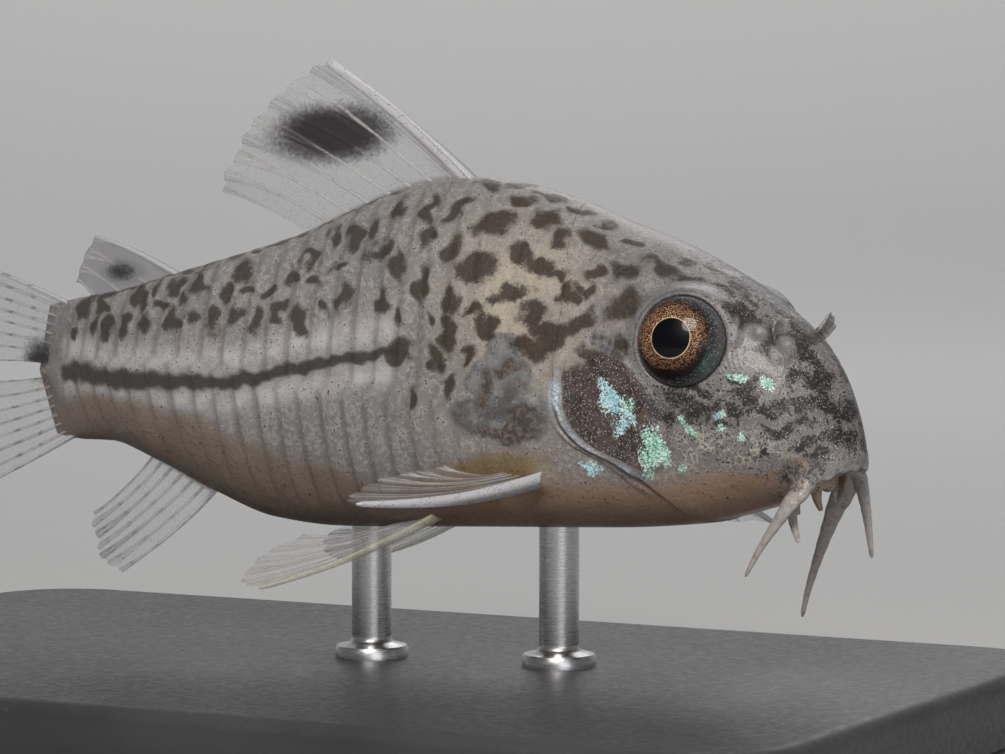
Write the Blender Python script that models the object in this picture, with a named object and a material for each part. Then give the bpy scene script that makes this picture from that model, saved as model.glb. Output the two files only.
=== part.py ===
"""A corydoras catfish, life size, as a still museum model that hovers on a plain stand.

Units are metres, +Z is up, and the origin is the middle of the stand's underside. The fish
faces +X and its right side faces -Y. Its body is described straight, in stations counted in
standard lengths from the snout to the root of the tail fin, and is then laid along a gently
bent spine.
"""

import math

import bmesh
import bpy
import numpy as np
from mathutils import Matrix, Vector

# Driving dimensions
MM = 0.001
BODY_LENGTH = 50 * MM
AXIS_HEIGHT = 20.5 * MM
PITCH = math.radians(3.5)
SNOUT_X = 31.0 * MM
SNOUT_Y = 0.8 * MM
SNOUT_TIP = 0.013
GAP = 0.3 * MM

# The spine, as a table of places along the straight body's stations
SPINE_END = 1.4
SPINE_STEPS = 1401

# Bony plates of the flank: two rows a side, in the head's wake
PLATE_COUNT = 22
PLATE_START = 0.375
PLATE_END = 0.985
PLATE_PITCH = (PLATE_END - PLATE_START) / PLATE_COUNT
PLATE_RISE = 0.22 * MM
PLATE_STEP = 0.12 * MM / BODY_LENGTH
TRUNK_PLATES = 11
FLANK_LINE = 96

# Eyes
EYE_STATION = 0.172
EYE_SIDE = 0.0925 * BODY_LENGTH
EYE_LEVEL = 0.010 * BODY_LENGTH
EYE_RADIUS = 2.4 * MM
EYE_DEPTH = 1.35 * MM
EYE_TOE_OUT = math.radians(17)
EYE_TILT_UP = math.radians(9)
ORBIT_RADIUS = 2.62 * MM
ORBIT_RIM = 0.38 * MM

# Fins
WEB_HALF = 0.25 * MM
RAY_HALF = 0.42 * MM
SPINE_HALF = 0.60 * MM
TIP_HALF = 0.15 * MM
SCALLOP = 0.035
NORMAL_SMOOTHING = 6

# Stand
BASE_LENGTH = 70 * MM
BASE_WIDTH = 44 * MM
BASE_THICKNESS = 4 * MM
BASE_CORNER = 6 * MM
BASE_BEVEL = 0.6 * MM
ROD_RADIUS = 1.1 * MM
ROD_STATIONS = {"front": 0.40, "rear": 0.62}

# Corners closer than this are merged after a cut, the first distance that leaves no hole
MERGE_DISTANCES = (0.004 * MM, 0.001 * MM, 0.0001 * MM)

SKIN_COLOUR = (0.52, 0.46, 0.38)
FIN_COLOUR = (0.62, 0.62, 0.60)


def smooth_curve(knots):
    """A function through (place, value) knots that rises and falls only where they do."""
    places = np.array([knot[0] for knot in knots], float)
    values = np.array([knot[1] for knot in knots], float)
    spans = np.diff(places)
    slopes = np.diff(values) / spans
    tangents = np.zeros(len(places))
    tangents[0] = slopes[0]
    tangents[-1] = slopes[-1]
    for i in range(1, len(places) - 1):
        if slopes[i - 1] * slopes[i] > 0:
            before = 2 * spans[i] + spans[i - 1]
            after = spans[i] + 2 * spans[i - 1]
            tangents[i] = (before + after) / (before / slopes[i - 1] + after / slopes[i])

    def value_at(place):
        place = np.clip(np.asarray(place, float), places[0], places[-1])
        i = np.clip(np.searchsorted(places, place, side="right") - 1, 0, len(places) - 2)
        t = (place - places[i]) / spans[i]
        start = (1 + 2 * t) * (1 - t) ** 2 * values[i] + t * (1 - t) ** 2 * spans[i] * tangents[i]
        end = t * t * (3 - 2 * t) * values[i + 1] + t * t * (t - 1) * spans[i] * tangents[i + 1]
        return start + end

    return value_at


# The bend of the spine in degrees, turned towards the fish's right, along the stations
HEADING = smooth_curve([(0, 9), (0.24, 9), (0.46, -8), (0.78, -9), (0.96, 12), (1.3, 14)])

# Profiles in standard lengths, along the stations
BACK = smooth_curve([
    (SNOUT_TIP, -0.122), (0.018, -0.102), (0.028, -0.064), (0.05, -0.017), (0.085, 0.021),
    (0.12, 0.048), (0.17, 0.079), (0.23, 0.110), (0.30, 0.138), (0.36, 0.165), (0.43, 0.186),
    (0.49, 0.194), (0.53, 0.191), (0.60, 0.172), (0.68, 0.142), (0.75, 0.124), (0.83, 0.106),
    (0.92, 0.087), (1.0, 0.080)])
BELLY = smooth_curve([
    (SNOUT_TIP, -0.122), (0.02, -0.129), (0.04, -0.137), (0.08, -0.156), (0.13, -0.174),
    (0.20, -0.188), (0.30, -0.192), (0.50, -0.188), (0.65, -0.184), (0.73, -0.172),
    (0.80, -0.142), (0.87, -0.106), (0.94, -0.082), (1.0, -0.080)])
HALF_WIDTH = smooth_curve([
    (SNOUT_TIP, 0), (0.016, 0.012), (0.024, 0.025), (0.045, 0.046), (0.07, 0.064), (0.11, 0.081),
    (0.17, 0.097), (0.25, 0.113), (0.325, 0.123), (0.40, 0.124), (0.49, 0.118), (0.55, 0.110),
    (0.65, 0.092), (0.75, 0.070), (0.85, 0.047), (0.95, 0.029), (1.0, 0.023)])
WIDEST_LEVEL = smooth_curve([
    (SNOUT_TIP, -0.122), (0.022, -0.118), (0.05, -0.100), (0.10, -0.078), (0.15, -0.065),
    (0.33, -0.06), (0.5, -0.055), (0.7, -0.03), (0.85, 0), (1, 0)])
# Fullness of the sections: 2 is an ellipse, more is boxier
FULLNESS_ABOVE = smooth_curve([(0, 2), (0.1, 2.2), (0.3, 2.0), (0.475, 1.75), (0.7, 1.8), (1, 2)])
FULLNESS_BELOW = smooth_curve([(0, 2), (0.1, 2.6), (0.3, 2.9), (0.5, 2.8), (0.7, 2.3), (1, 2)])

# The rear edge of the head and gill covers, by degrees up from the middle of the belly
HEAD_EDGE = smooth_curve([
    (0, 0.190), (40, 0.198), (62, 0.222), (74, 0.250), (83, 0.296), (93, 0.326), (104, 0.326),
    (125, 0.322), (150, 0.334), (180, 0.345)])
GILL_COVER_FRONT = smooth_curve([(64, 0.208), (74, 0.190), (90, 0.192), (104, 0.214), (113, 0.25)])


def spine_table():
    """Stations along the spine, with their places seen from above."""
    stations = np.linspace(0, SPINE_END, SPINE_STEPS)
    heading = np.radians(HEADING(stations))
    step = BODY_LENGTH * np.diff(stations)
    forward_x = np.cos(heading)
    forward_y = -np.sin(heading)
    run_x = np.cumsum((forward_x[1:] + forward_x[:-1]) / 2 * step)
    run_y = np.cumsum((forward_y[1:] + forward_y[:-1]) / 2 * step)
    x = SNOUT_X - np.concatenate([[0], run_x])
    y = SNOUT_Y - np.concatenate([[0], run_y])
    return stations, x, y


SPINE_STATION, SPINE_X, SPINE_Y = spine_table()


def place(station, side, level):
    """World points for places on the straight body: side is to the fish's right."""
    station = np.asarray(station, float)
    heading = np.radians(HEADING(station))
    x = np.interp(station, SPINE_STATION, SPINE_X) - np.sin(heading) * side
    y = np.interp(station, SPINE_STATION, SPINE_Y) - np.cos(heading) * side
    up = level + 0 * x
    tilted_x = x * math.cos(PITCH) - up * math.sin(PITCH)
    tilted_z = x * math.sin(PITCH) + up * math.cos(PITCH)
    return np.stack([tilted_x, y, AXIS_HEIGHT + tilted_z], axis=-1)


def section(station, degrees, raised=0.0):
    """Side and level on the body's outline, by degrees up from the middle of the belly."""
    angle = np.radians(degrees)
    top = BACK(station) * BODY_LENGTH + raised
    bottom = BELLY(station) * BODY_LENGTH - raised
    width = HALF_WIDTH(station) * BODY_LENGTH + raised
    middle = WIDEST_LEVEL(station) * BODY_LENGTH
    below = np.cos(angle) > 0
    power = 2 / np.where(below, FULLNESS_BELOW(station), FULLNESS_ABOVE(station))
    side = width * np.sign(np.sin(angle)) * np.abs(np.sin(angle)) ** power
    reach = np.where(below, middle - bottom, top - middle)
    level = middle - np.sign(np.cos(angle)) * reach * np.abs(np.cos(angle)) ** power
    return side, level


def skin_point(station, degrees, raised=0.0):
    """World points on the body's surface, raised off it by a distance."""
    side, level = section(station, degrees, raised)
    return place(station, side, level)


def skin_axes(station, degrees):
    """A point of the surface as a matrix whose X runs to the tail and Z points outwards."""
    step = 0.002
    centre = skin_point(station, degrees)
    along = Vector(skin_point(station + step, degrees) - skin_point(station - step, degrees))
    around = Vector(skin_point(station, degrees + 1.0) - skin_point(station, degrees - 1.0))
    along.normalize()
    outward = along.cross(around).normalized()
    middle = place(station, 0.0, WIDEST_LEVEL(station) * BODY_LENGTH)
    if outward.dot(Vector(centre - middle)) < 0:
        outward = -outward
    across = outward.cross(along)
    axes = Matrix((along, across, outward)).transposed().to_4x4()
    axes.translation = Vector(centre)
    return axes


def material(name, colour, roughness, metallic=0.0):
    """A plain Principled material."""
    made = bpy.data.materials.new(name)
    made.use_nodes = True
    shader = made.node_tree.nodes["Principled BSDF"]
    shader.inputs["Base Color"].default_value = (*colour, 1.0)
    shader.inputs["Roughness"].default_value = roughness
    shader.inputs["Metallic"].default_value = metallic
    return made


def finish_mesh(mesh, build):
    """Writes a bmesh of outward triangles to a mesh and shades it smooth but for sharp edges."""
    bmesh.ops.triangulate(build, faces=build.faces)
    bmesh.ops.recalc_face_normals(build, faces=build.faces)
    build.to_mesh(mesh)
    build.free()
    mesh.shade_smooth()
    mesh.set_sharp_from_angle(angle=math.radians(40))


def solid(name, points, faces, finish=None):
    """An object from points and faces that close on themselves."""
    build = bmesh.new()
    corners = [build.verts.new(Vector(point)) for point in points]
    for face in faces:
        build.faces.new([corners[i] for i in face])
    mesh = bpy.data.meshes.new(name)
    finish_mesh(mesh, build)
    made = bpy.data.objects.new(name, mesh)
    bpy.context.scene.collection.objects.link(made)
    if finish is not None:
        mesh.materials.append(finish)
    return made


def loft(name, rings, front_pole, rear_pole, finish=None):
    """A closed solid through rings of points, closed by a point at each end."""
    count = rings.shape[1]
    points = list(rings.reshape(-1, 3)) + [front_pole, rear_pole]
    front = len(points) - 2
    rear = len(points) - 1
    faces = []
    for ring in range(len(rings) - 1):
        for i in range(count):
            j = (i + 1) % count
            a, b = ring * count + i, ring * count + j
            c, d = b + count, a + count
            faces.append((a, b, c))
            faces.append((a, c, d))
    last = (len(rings) - 1) * count
    for i in range(count):
        j = (i + 1) % count
        faces.append((front, j, i))
        faces.append((rear, last + i, last + j))
    return solid(name, points, faces, finish)


def sheet_normals(grid):
    """Unit normals of a grid of points, evened out so that close columns don't cross."""
    normal = np.cross(np.gradient(grid, axis=0), np.gradient(grid, axis=1))
    normal /= np.linalg.norm(normal, axis=-1, keepdims=True)
    for _ in range(NORMAL_SMOOTHING):
        for axis in (0, 1):
            padded = np.concatenate([normal.take([0], axis), normal, normal.take([-1], axis)], axis)
            count = normal.shape[axis]
            before = padded.take(range(count), axis)
            after = padded.take(range(2, count + 2), axis)
            normal = before + 2 * normal + after
            normal /= np.linalg.norm(normal, axis=-1, keepdims=True)
    return normal


def sheet(name, grid, half, finish=None):
    """A closed thin solid round a grid of points, split alike on its two faces."""
    rows, columns = grid.shape[:2]
    offset = sheet_normals(grid) * np.broadcast_to(half, grid.shape[:2])[..., None]
    points = list((grid + offset).reshape(-1, 3)) + list((grid - offset).reshape(-1, 3))
    back = rows * columns
    faces = []
    for i in range(rows - 1):
        for j in range(columns - 1):
            a, b = i * columns + j, i * columns + j + 1
            c, d = b + columns, a + columns
            for face in ((a, b, c), (a, c, d)):
                faces.append(face)
                faces.append(tuple(back + corner for corner in reversed(face)))
    rim = [j for j in range(columns)]
    rim += [i * columns + columns - 1 for i in range(1, rows)]
    rim += [(rows - 1) * columns + j for j in range(columns - 2, -1, -1)]
    rim += [i * columns for i in range(rows - 2, 0, -1)]
    for k, start in enumerate(rim):
        end = rim[(k + 1) % len(rim)]
        faces.append((end, start, back + start))
        faces.append((end, back + start, back + end))
    return solid(name, points, faces, finish)


def tube(name, path, radii, sides=7, finish=None):
    """A closed round tube along world points, with a radius at each."""
    path = np.asarray(path)
    run = np.gradient(path, axis=0)
    rings = []
    ahead = Vector(run[0]).normalized()
    across = ahead.orthogonal().normalized()
    for point, direction, radius in zip(path, run, radii):
        direction = Vector(direction).normalized()
        across = (across - direction * across.dot(direction)).normalized()
        other = direction.cross(across)
        ring = []
        for k in range(sides):
            angle = math.tau * k / sides
            spoke = across * math.cos(angle) + other * math.sin(angle)
            ring.append(np.array(point) + np.array(spoke) * radius)
        rings.append(ring)
    return loft(name, np.array(rings), path[0], path[-1], finish)


def primitive(name, axes, make):
    """A closed bmesh primitive, placed by a matrix that may stretch it."""
    build = bmesh.new()
    make(build)
    bmesh.ops.transform(build, matrix=axes, verts=build.verts)
    mesh = bpy.data.meshes.new(name)
    finish_mesh(mesh, build)
    made = bpy.data.objects.new(name, mesh)
    bpy.context.scene.collection.objects.link(made)
    return made


def ball(name, axes, radii, segments=18):
    """An ellipsoid with its own three radii."""
    def make(build):
        bmesh.ops.create_uvsphere(
            build, u_segments=segments, v_segments=segments * 3 // 5, radius=1.0)
    return primitive(name, axes @ Matrix.Diagonal((*radii, 1.0)), make)


def frustum(name, axes, low_radius, high_radius, low, high, segments=10):
    """A truncated cone along the matrix's Z axis, between two heights."""
    def make(build):
        bmesh.ops.create_cone(
            build, cap_ends=True, segments=segments, radius1=low_radius, radius2=high_radius,
            depth=high - low)
    return primitive(name, axes @ Matrix.Translation((0, 0, (low + high) / 2)), make)


def ring_rim(name, axes, ring_radius, rim_radius, segments=22, sides=6):
    """A round rim, as a torus about the matrix's Z axis."""
    points = []
    faces = []
    for i in range(segments):
        turn = math.tau * i / segments
        for k in range(sides):
            angle = math.tau * k / sides
            reach = ring_radius + rim_radius * math.cos(angle)
            spot = Vector((reach * math.cos(turn), reach * math.sin(turn),
                           rim_radius * math.sin(angle)))
            points.append(axes @ spot)
    for i in range(segments):
        for k in range(sides):
            a, b = i * sides + k, i * sides + (k + 1) % sides
            c = ((i + 1) % segments) * sides + (k + 1) % sides
            d = ((i + 1) % segments) * sides + k
            faces.append((a, b, c, d))
    return solid(name, points, faces)


def apply_boolean(target, operation, tools, solver="EXACT"):
    """Joins or cuts a closed object with others, which are then removed."""
    group = bpy.data.collections.new(target.name + "_tools")
    for tool in tools:
        tool.hide_render = True
        tool.display_type = "WIRE"
        group.objects.link(tool)
    change = target.modifiers.new(operation.lower(), "BOOLEAN")
    change.operation = operation
    change.solver = solver
    change.operand_type = "COLLECTION"
    change.collection = group
    graph = bpy.context.evaluated_depsgraph_get()
    made = bpy.data.meshes.new_from_object(target.evaluated_get(graph))
    target.modifiers.clear()
    target.data = made
    for tool in tools:
        bpy.data.objects.remove(tool)
    bpy.data.collections.remove(group)
    keep_largest(target)


def closed(build):
    """Whether every edge of a bmesh joins two faces."""
    return all(len(edge.link_faces) == 2 for edge in build.edges)


def without_slivers(mesh):
    """A bmesh of the mesh's triangles, its close corners merged as far as it stays closed."""
    for distance in MERGE_DISTANCES:
        build = bmesh.new()
        build.from_mesh(mesh)
        bmesh.ops.triangulate(build, faces=build.faces)
        bmesh.ops.remove_doubles(build, verts=build.verts, dist=distance)
        bmesh.ops.dissolve_degenerate(build, edges=build.edges, dist=distance)
        bmesh.ops.triangulate(build, faces=build.faces)
        if closed(build):
            return build
        build.free()
    build = bmesh.new()
    build.from_mesh(mesh)
    return build


def keep_largest(target):
    """Keeps the largest closed surface of an object, without its thinnest slivers."""
    build = without_slivers(target.data)
    left = set(build.faces)
    islands = []
    while left:
        island = set()
        front = [left.pop()]
        while front:
            face = front.pop()
            island.add(face)
            for edge in face.edges:
                for neighbour in edge.link_faces:
                    if neighbour in left:
                        left.remove(neighbour)
                        front.append(neighbour)
        islands.append(island)
    largest = max(islands, key=lambda island: sum(face.calc_area() for face in island))
    scraps = [face for face in build.faces if face not in largest]
    bmesh.ops.delete(build, geom=scraps, context="FACES")
    finish_mesh(target.data, build)


def around_body():
    """Degrees of the points of one ring, finer at the flank's line and the belly's edge."""
    half = np.array([0, 15, 29, 41, 51, 60, 69, 78, 86, FLANK_LINE - 4, FLANK_LINE + 4, 108, 119,
                     130, 141, 152, 163, 172, 180], float)
    return np.concatenate([half, 360 - half[-2:0:-1]])


def folded(degrees):
    """Degrees up from the belly on either side, from 0 to 180."""
    return np.where(degrees > 180, 360 - degrees, degrees)


def step_between(value, low, high):
    """A smooth step from 0 at low to 1 at high."""
    t = np.clip((value - low) / (high - low), 0, 1)
    return t * t * (3 - 2 * t)


def plate_edge(number, degrees):
    """The station of a plate's front edge: the lower row is set half a plate further back."""
    up = folded(degrees)
    below_line = 1 - step_between(up, FLANK_LINE - 4, FLANK_LINE + 4)
    lean = 0.7 * np.abs(up - FLANK_LINE) / 90
    return PLATE_START + (number + 0.5 * below_line - lean) * PLATE_PITCH


def plate_rise(degrees):
    """How far the rear edge of a plate stands proud: the belly is bare."""
    up = folded(degrees)
    flank = step_between(up, 34, 52) * (1 - 0.6 * step_between(up, 158, 176))
    groove = np.exp(-((up - FLANK_LINE) / 3.5) ** 2)
    return PLATE_RISE * flank * (1 - 0.5 * groove)


def plated_rings(first, last, degrees):
    """Two rings a plate, low behind the step and proud at its rear edge."""
    rings = []
    for number in range(first, last):
        front = plate_edge(number, degrees) + PLATE_STEP
        rear = plate_edge(number + 1, degrees)
        rings.append(skin_point(front, degrees))
        rings.append(skin_point(rear, degrees, plate_rise(degrees)))
    return rings


def head_rings(degrees, raised=0.0, count=22):
    """Rings from the snout's tip to the head's rear edge, closest together at the tip."""
    edge = HEAD_EDGE(folded(degrees))
    parts = (np.arange(1, count + 1) / count) ** 1.45
    return np.array([skin_point(SNOUT_TIP + (edge - SNOUT_TIP) * part, degrees, raised)
                     for part in parts])


def cut_middle(edge, level=-0.01):
    """The point on the axis where a cut's two faces come closest to flat."""
    return place(float(np.mean(edge)), 0.0, level * BODY_LENGTH)


def eye_axes(sign):
    """The eye's centre, with Z looking out of the head; sign is 1 for the right eye."""
    centre = Vector(place(EYE_STATION, sign * EYE_SIDE, EYE_LEVEL))
    heading = math.radians(float(HEADING(EYE_STATION)))
    right = Vector((-math.sin(heading), -math.cos(heading), 0)) * sign
    forward = Vector((math.cos(heading), -math.sin(heading), 0))
    flat = right * math.cos(EYE_TOE_OUT) + forward * math.sin(EYE_TOE_OUT)
    outward = flat * math.cos(EYE_TILT_UP) + Vector((0, 0, 1)) * math.sin(EYE_TILT_UP)
    along = (-forward - outward * -forward.dot(outward)).normalized()
    across = outward.cross(along)
    axes = Matrix((along, across, outward)).transposed().to_4x4()
    axes.translation = centre - outward * 0.35 * MM
    return axes


def body_path(knots, count):
    """World points on a smooth line through (station, side, level) knots in body places."""
    places = np.linspace(0, 1, len(knots))
    tracks = [smooth_curve(list(zip(places, values))) for values in zip(*knots)]
    t = np.linspace(0, 1, count)
    station, side, level = [track(t) for track in tracks]
    return place(station, side * MM, level * MM)


# Barbels: station, side and level in millimetres from the mouth's corner to the tip
BARBELS = {
    "maxillary_barbel_right": [
        (0.066, 1.7, -6.6), (0.060, 2.4, -7.4), (0.071, 3.2, -8.5), (0.100, 3.6, -10.5),
        (0.117, 3.8, -11.9)],
    "maxillary_barbel_left": [
        (0.070, -1.7, -6.6), (0.070, -2.4, -7.6), (0.089, -2.9, -9.0), (0.112, -3.2, -11.0),
        (0.135, -3.4, -13.4), (0.144, -3.4, -14.8)],
    "rictal_barbel_right": [
        (0.084, 1.2, -6.8), (0.086, 1.5, -7.9), (0.078, 2.0, -9.1), (0.062, 2.8, -10.2)],
    "rictal_barbel_left": [
        (0.052, -1.5, -6.3), (0.048, -2.2, -7.2), (0.050, -2.9, -9.0), (0.052, -3.4, -11.6)],
}
BARBEL_ROOT_RADIUS = 0.55 * MM
BARBEL_TIP_RADIUS = 0.2 * MM
BARBEL_RINGS = 10
STUMP_LENGTH = 1.3 * MM
STUMP_RINGS = 3
LIP_RINGS = 13


def stretch(path, start, end, count):
    """Points spread evenly along part of a line, between two distances from its start."""
    steps = np.linalg.norm(np.diff(path, axis=0), axis=1)
    run = np.concatenate([[0], np.cumsum(steps)])
    spots = np.linspace(start, min(end, run[-1]), count)
    points = np.stack([np.interp(spots, run, path[:, axis]) for axis in range(3)], axis=-1)
    return points, spots / run[-1]


def barbel_piece(name, start, end, count, finish=None):
    """A length of one barbel, which thins from its root to its tip."""
    line = body_path(BARBELS[name], 80)
    points, part = stretch(line, start, end, count)
    radii = BARBEL_ROOT_RADIUS + (BARBEL_TIP_RADIUS - BARBEL_ROOT_RADIUS) * part ** 0.8
    label = name if finish else name + "_stump"
    return tube(label, points, radii, finish=finish)


def barbel_stumps():
    """The thick first stretch of every barbel, which belongs to the lips."""
    return [barbel_piece(name, 0.0, STUMP_LENGTH, STUMP_RINGS) for name in BARBELS]


def make_barbels(finish):
    """Each barbel from just past its stump to its tip."""
    for name in BARBELS:
        barbel_piece(name, STUMP_LENGTH + GAP, BODY_LENGTH, BARBEL_RINGS, finish)


def lip_path(front, back, corner_side, front_level, corner_level, reach, count):
    """World points of an arc under the snout, from the right corner to the left one."""
    turn = np.radians(np.linspace(-reach, reach, count))
    bend = 1 - np.cos(turn)
    station = front + (back - front) * bend
    level = front_level + (corner_level - front_level) * bend
    return place(station, corner_side * np.sin(turn) * MM, level * MM)


def make_lips():
    """Upper and lower lip, and two short lobes behind the lower one."""
    upper = lip_path(0.029, 0.072, 2.3, -6.05, -7.1, 85, LIP_RINGS)
    lower = lip_path(0.066, 0.094, 1.9, -7.35, -7.7, 70, LIP_RINGS)
    wave = 1 + 0.22 * np.cos(np.linspace(0, 3 * math.tau, LIP_RINGS))
    pieces = [
        tube("upper_lip", upper, np.full(LIP_RINGS, 0.5 * MM)),
        tube("lower_lip", lower, 0.45 * MM * wave)]
    for sign in (1, -1):
        lobe = body_path([(0.086, sign * 0.9, -7.3), (0.086, sign * 1.0, -8.2),
                          (0.083, sign * 1.1, -8.9)], 5)
        pieces.append(tube("chin_lobe", lobe, np.array([0.42, 0.38, 0.32, 0.26, 0.2]) * MM))
    return pieces


def mouth_slit():
    """A thin curved sheet that cuts the line of the mouth between the lips."""
    rows = []
    for depth in np.linspace(0, 1, 2):
        level_front = -5.9 - 2.6 * depth
        rows.append(lip_path(0.051, 0.087, 2.35, level_front, level_front - 0.8, 80, 13))
    return sheet("mouth_slit", np.array(rows), 0.14 * MM)


NOSTRILS = {"front": (0.078, 147), "rear": (0.103, 142)}


def make_nostrils():
    """Raised rims with a flap between each pair, and the pits that go into them."""
    rims = []
    pits = []
    for sign in (1, -1):
        for spot, (station, degrees) in NOSTRILS.items():
            axes = skin_axes(station, sign * degrees)
            rims.append(frustum("nostril_rim", axes, 0.66 * MM, 0.46 * MM, -0.35 * MM, 0.30 * MM))
            pits.append(ball("nostril_pit", axes @ Matrix.Translation((0, 0, 0.30 * MM)),
                             (0.3 * MM, 0.3 * MM, 0.5 * MM), 8))
        station, degrees = NOSTRILS["front"]
        axes = skin_axes(station + 0.011, sign * (degrees + 3))
        rims.append(ball("nostril_flap", axes @ Matrix.Translation((0, 0, 0.25 * MM)),
                         (0.2 * MM, 0.5 * MM, 0.75 * MM), 8))
    return rims, pits


def gill_cover(name, sign, finish=None, cutter=False):
    """The bony gill cover, or the pocket that the head keeps for it."""
    rows = 9
    columns = 6
    spread = 3.3 if cutter else 0.0
    forward = GAP / BODY_LENGTH if cutter else 0.0
    past = 0.012 if cutter else 0.0
    raised = 0.45 * MM if cutter else 0.02 * MM
    half = 1.0 * MM if cutter else 0.32 * MM
    reach = np.linspace(0, 1, columns)
    grid = []
    for degrees in np.linspace(66 - spread, 112 + spread, rows):
        front = GILL_COVER_FRONT(degrees) - forward
        rear = HEAD_EDGE(degrees) + past
        station = front + (rear - front) * reach
        grid.append(skin_point(station, sign * degrees, raised))
    grid = np.array(grid)
    crown = np.sin(np.linspace(0, math.pi, rows)) ** 0.4
    edge = np.minimum(1.0, 0.55 + 1.8 * reach)
    taper = 1.0 if cutter else 0.6 + 0.4 * crown[:, None] * edge[None, :]
    return sheet(name, grid, half * taper, finish)


def make_head(finish):
    """The head, with sockets, gill pockets, nostrils and mouth."""
    degrees = around_body()
    rings = head_rings(degrees)
    head = loft("head", rings, skin_point(SNOUT_TIP, 0.0), cut_middle(HEAD_EDGE(folded(degrees))))
    additions = make_lips() + barbel_stumps()
    rims, pits = make_nostrils()
    additions += rims
    for sign in (1, -1):
        lift = Matrix.Translation((0, 0, 0.30 * MM))
        additions.append(ring_rim("orbit", eye_axes(sign) @ lift, ORBIT_RADIUS, ORBIT_RIM))
    apply_boolean(head, "UNION", additions)
    cutters = pits + [mouth_slit()]
    for sign in (1, -1):
        socket = (EYE_RADIUS + GAP, EYE_RADIUS + GAP, EYE_DEPTH + GAP)
        cutters.append(ball("eye_socket", eye_axes(sign), socket, 20))
        cutters.append(gill_cover("gill_pocket", sign, cutter=True))
    apply_boolean(head, "DIFFERENCE", cutters)
    head.data.materials.append(finish)
    return head


def make_trunk(finish):
    """The trunk from the gill openings to the end of the back fin, with its plates."""
    degrees = around_body()
    first_plate = plate_edge(0, degrees)
    front = HEAD_EDGE(folded(degrees)) + (GAP + 0.05 * MM) / BODY_LENGTH
    rings = []
    for part in np.linspace(0, 1, 5):
        rings.append(skin_point(front + (first_plate - front) * part, degrees))
    rings += plated_rings(0, TRUNK_PLATES, degrees)
    rear = plate_edge(TRUNK_PLATES, degrees)
    return loft("trunk", np.array(rings), cut_middle(front), cut_middle(rear), finish)


def trunk_cutter(raised):
    """The trunk's outline grown by a gap, to shape the roots that meet it."""
    degrees = around_body()
    stations = np.linspace(0.2, 0.8, 31)
    rings = [skin_point(station + 0 * degrees, degrees, raised) for station in stations]
    return loft("trunk_cutter", np.array(rings), place(0.2, 0, 0), place(0.8, 0, 0))


def make_tail_stem(finish):
    """The tail from the end of the back fin to the root of the tail fin."""
    degrees = around_body()
    front = plate_edge(TRUNK_PLATES, degrees) + (GAP + 0.05 * MM) / BODY_LENGTH
    rings = [skin_point(front, degrees)]
    rings += plated_rings(TRUNK_PLATES, PLATE_COUNT, degrees)[1:]
    rings.append(skin_point(1.0 + 0 * degrees, degrees))
    return loft("tail_stem", np.array(rings), cut_middle(front), place(1.0, 0, 0), finish)


def track(knots):
    """A function from 0 to 1 to body places, through (part, station, side, level) knots."""
    parts = [knot[0] for knot in knots]
    curves = [smooth_curve(list(zip(parts, values))) for values in list(zip(*knots))[1:]]

    def at(part):
        station, side, level = [curve(part) for curve in curves]
        return np.stack([station, side * MM, level * MM], axis=-1)

    return at


def fin(name, roots, tips, rays, finish, bow=(0.0, 0.0, 0.0), rows=7, lead=SPINE_HALF):
    """A rayed fin: ridges run from root to tip, with thinner web between them."""
    columns = 3 * (rays - 1) + 1
    part = np.linspace(0, 1, columns)
    is_ray = np.arange(columns) % 3 == 0
    reach = np.linspace(0, 1, rows)
    length = np.where(is_ray, 1.0, 1.0 - SCALLOP)
    t = reach[None, :] * length[:, None]
    start = roots(part)[:, None, :]
    end = tips(part)[:, None, :]
    bend = np.array(bow) * np.array([1, MM, MM])
    body = start + (end - start) * t[..., None] + 4 * (t * (1 - t))[..., None] * bend
    grid = place(body[..., 0], body[..., 1], body[..., 2])
    ridge = np.full(columns, RAY_HALF)
    ridge[0] = lead
    root_half = np.where(is_ray, ridge, WEB_HALF)
    tip_half = np.where(is_ray, TIP_HALF * 1.3, TIP_HALF)
    half = root_half[:, None] + (tip_half - root_half)[:, None] * reach[None, :] ** 1.3
    return sheet(name, grid, half, finish)


def on_back(knots):
    """Roots along the back, by (part, station) knots, a gap above it."""
    station_at = smooth_curve(knots)

    def at(part):
        station = station_at(part)
        level = BACK(station) * BODY_LENGTH + plate_rise(180.0) + GAP
        return np.stack([station, 0 * station, level], axis=-1)

    return at


def on_belly(knots):
    """Roots along the belly, by (part, station) knots, a gap below it."""
    station_at = smooth_curve(knots)

    def at(part):
        station = station_at(part)
        level = BELLY(station) * BODY_LENGTH - GAP
        return np.stack([station, 0 * station, level], axis=-1)

    return at


def mirrored(knots, station_shift=0.0):
    """The same knots on the fish's other side."""
    return [(part, station + station_shift, -side, level) for part, station, side, level in knots]


PELVIC_ROOT = [(0, 0.500, 3.2, -8.2), (1, 0.545, 2.2, -8.7)]
PELVIC_TIPS = [(0, 0.690, 8.0, -11.9), (0.3, 0.722, 7.3, -11.6), (0.65, 0.716, 5.7, -10.6),
               (1, 0.672, 4.0, -9.3)]
PECTORAL_RIGHT_ROOT = [(0, 0.348, 4.6, -6.8), (1, 0.396, 4.7, -6.1)]
PECTORAL_RIGHT_TIPS = [(0, 0.533, 13.0, -7.1), (0.25, 0.556, 11.6, -6.9), (0.6, 0.545, 8.9, -6.2),
                       (1, 0.475, 7.1, -5.6)]
PECTORAL_LEFT_ROOT = [(0, 0.348, -4.6, -6.9), (1, 0.396, -4.7, -6.3)]
PECTORAL_LEFT_TIPS = [(0, 0.300, -14.3, -10.8), (0.25, 0.352, -14.0, -10.6),
                      (0.6, 0.418, -12.3, -9.8), (1, 0.445, -9.2, -8.4)]


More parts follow.
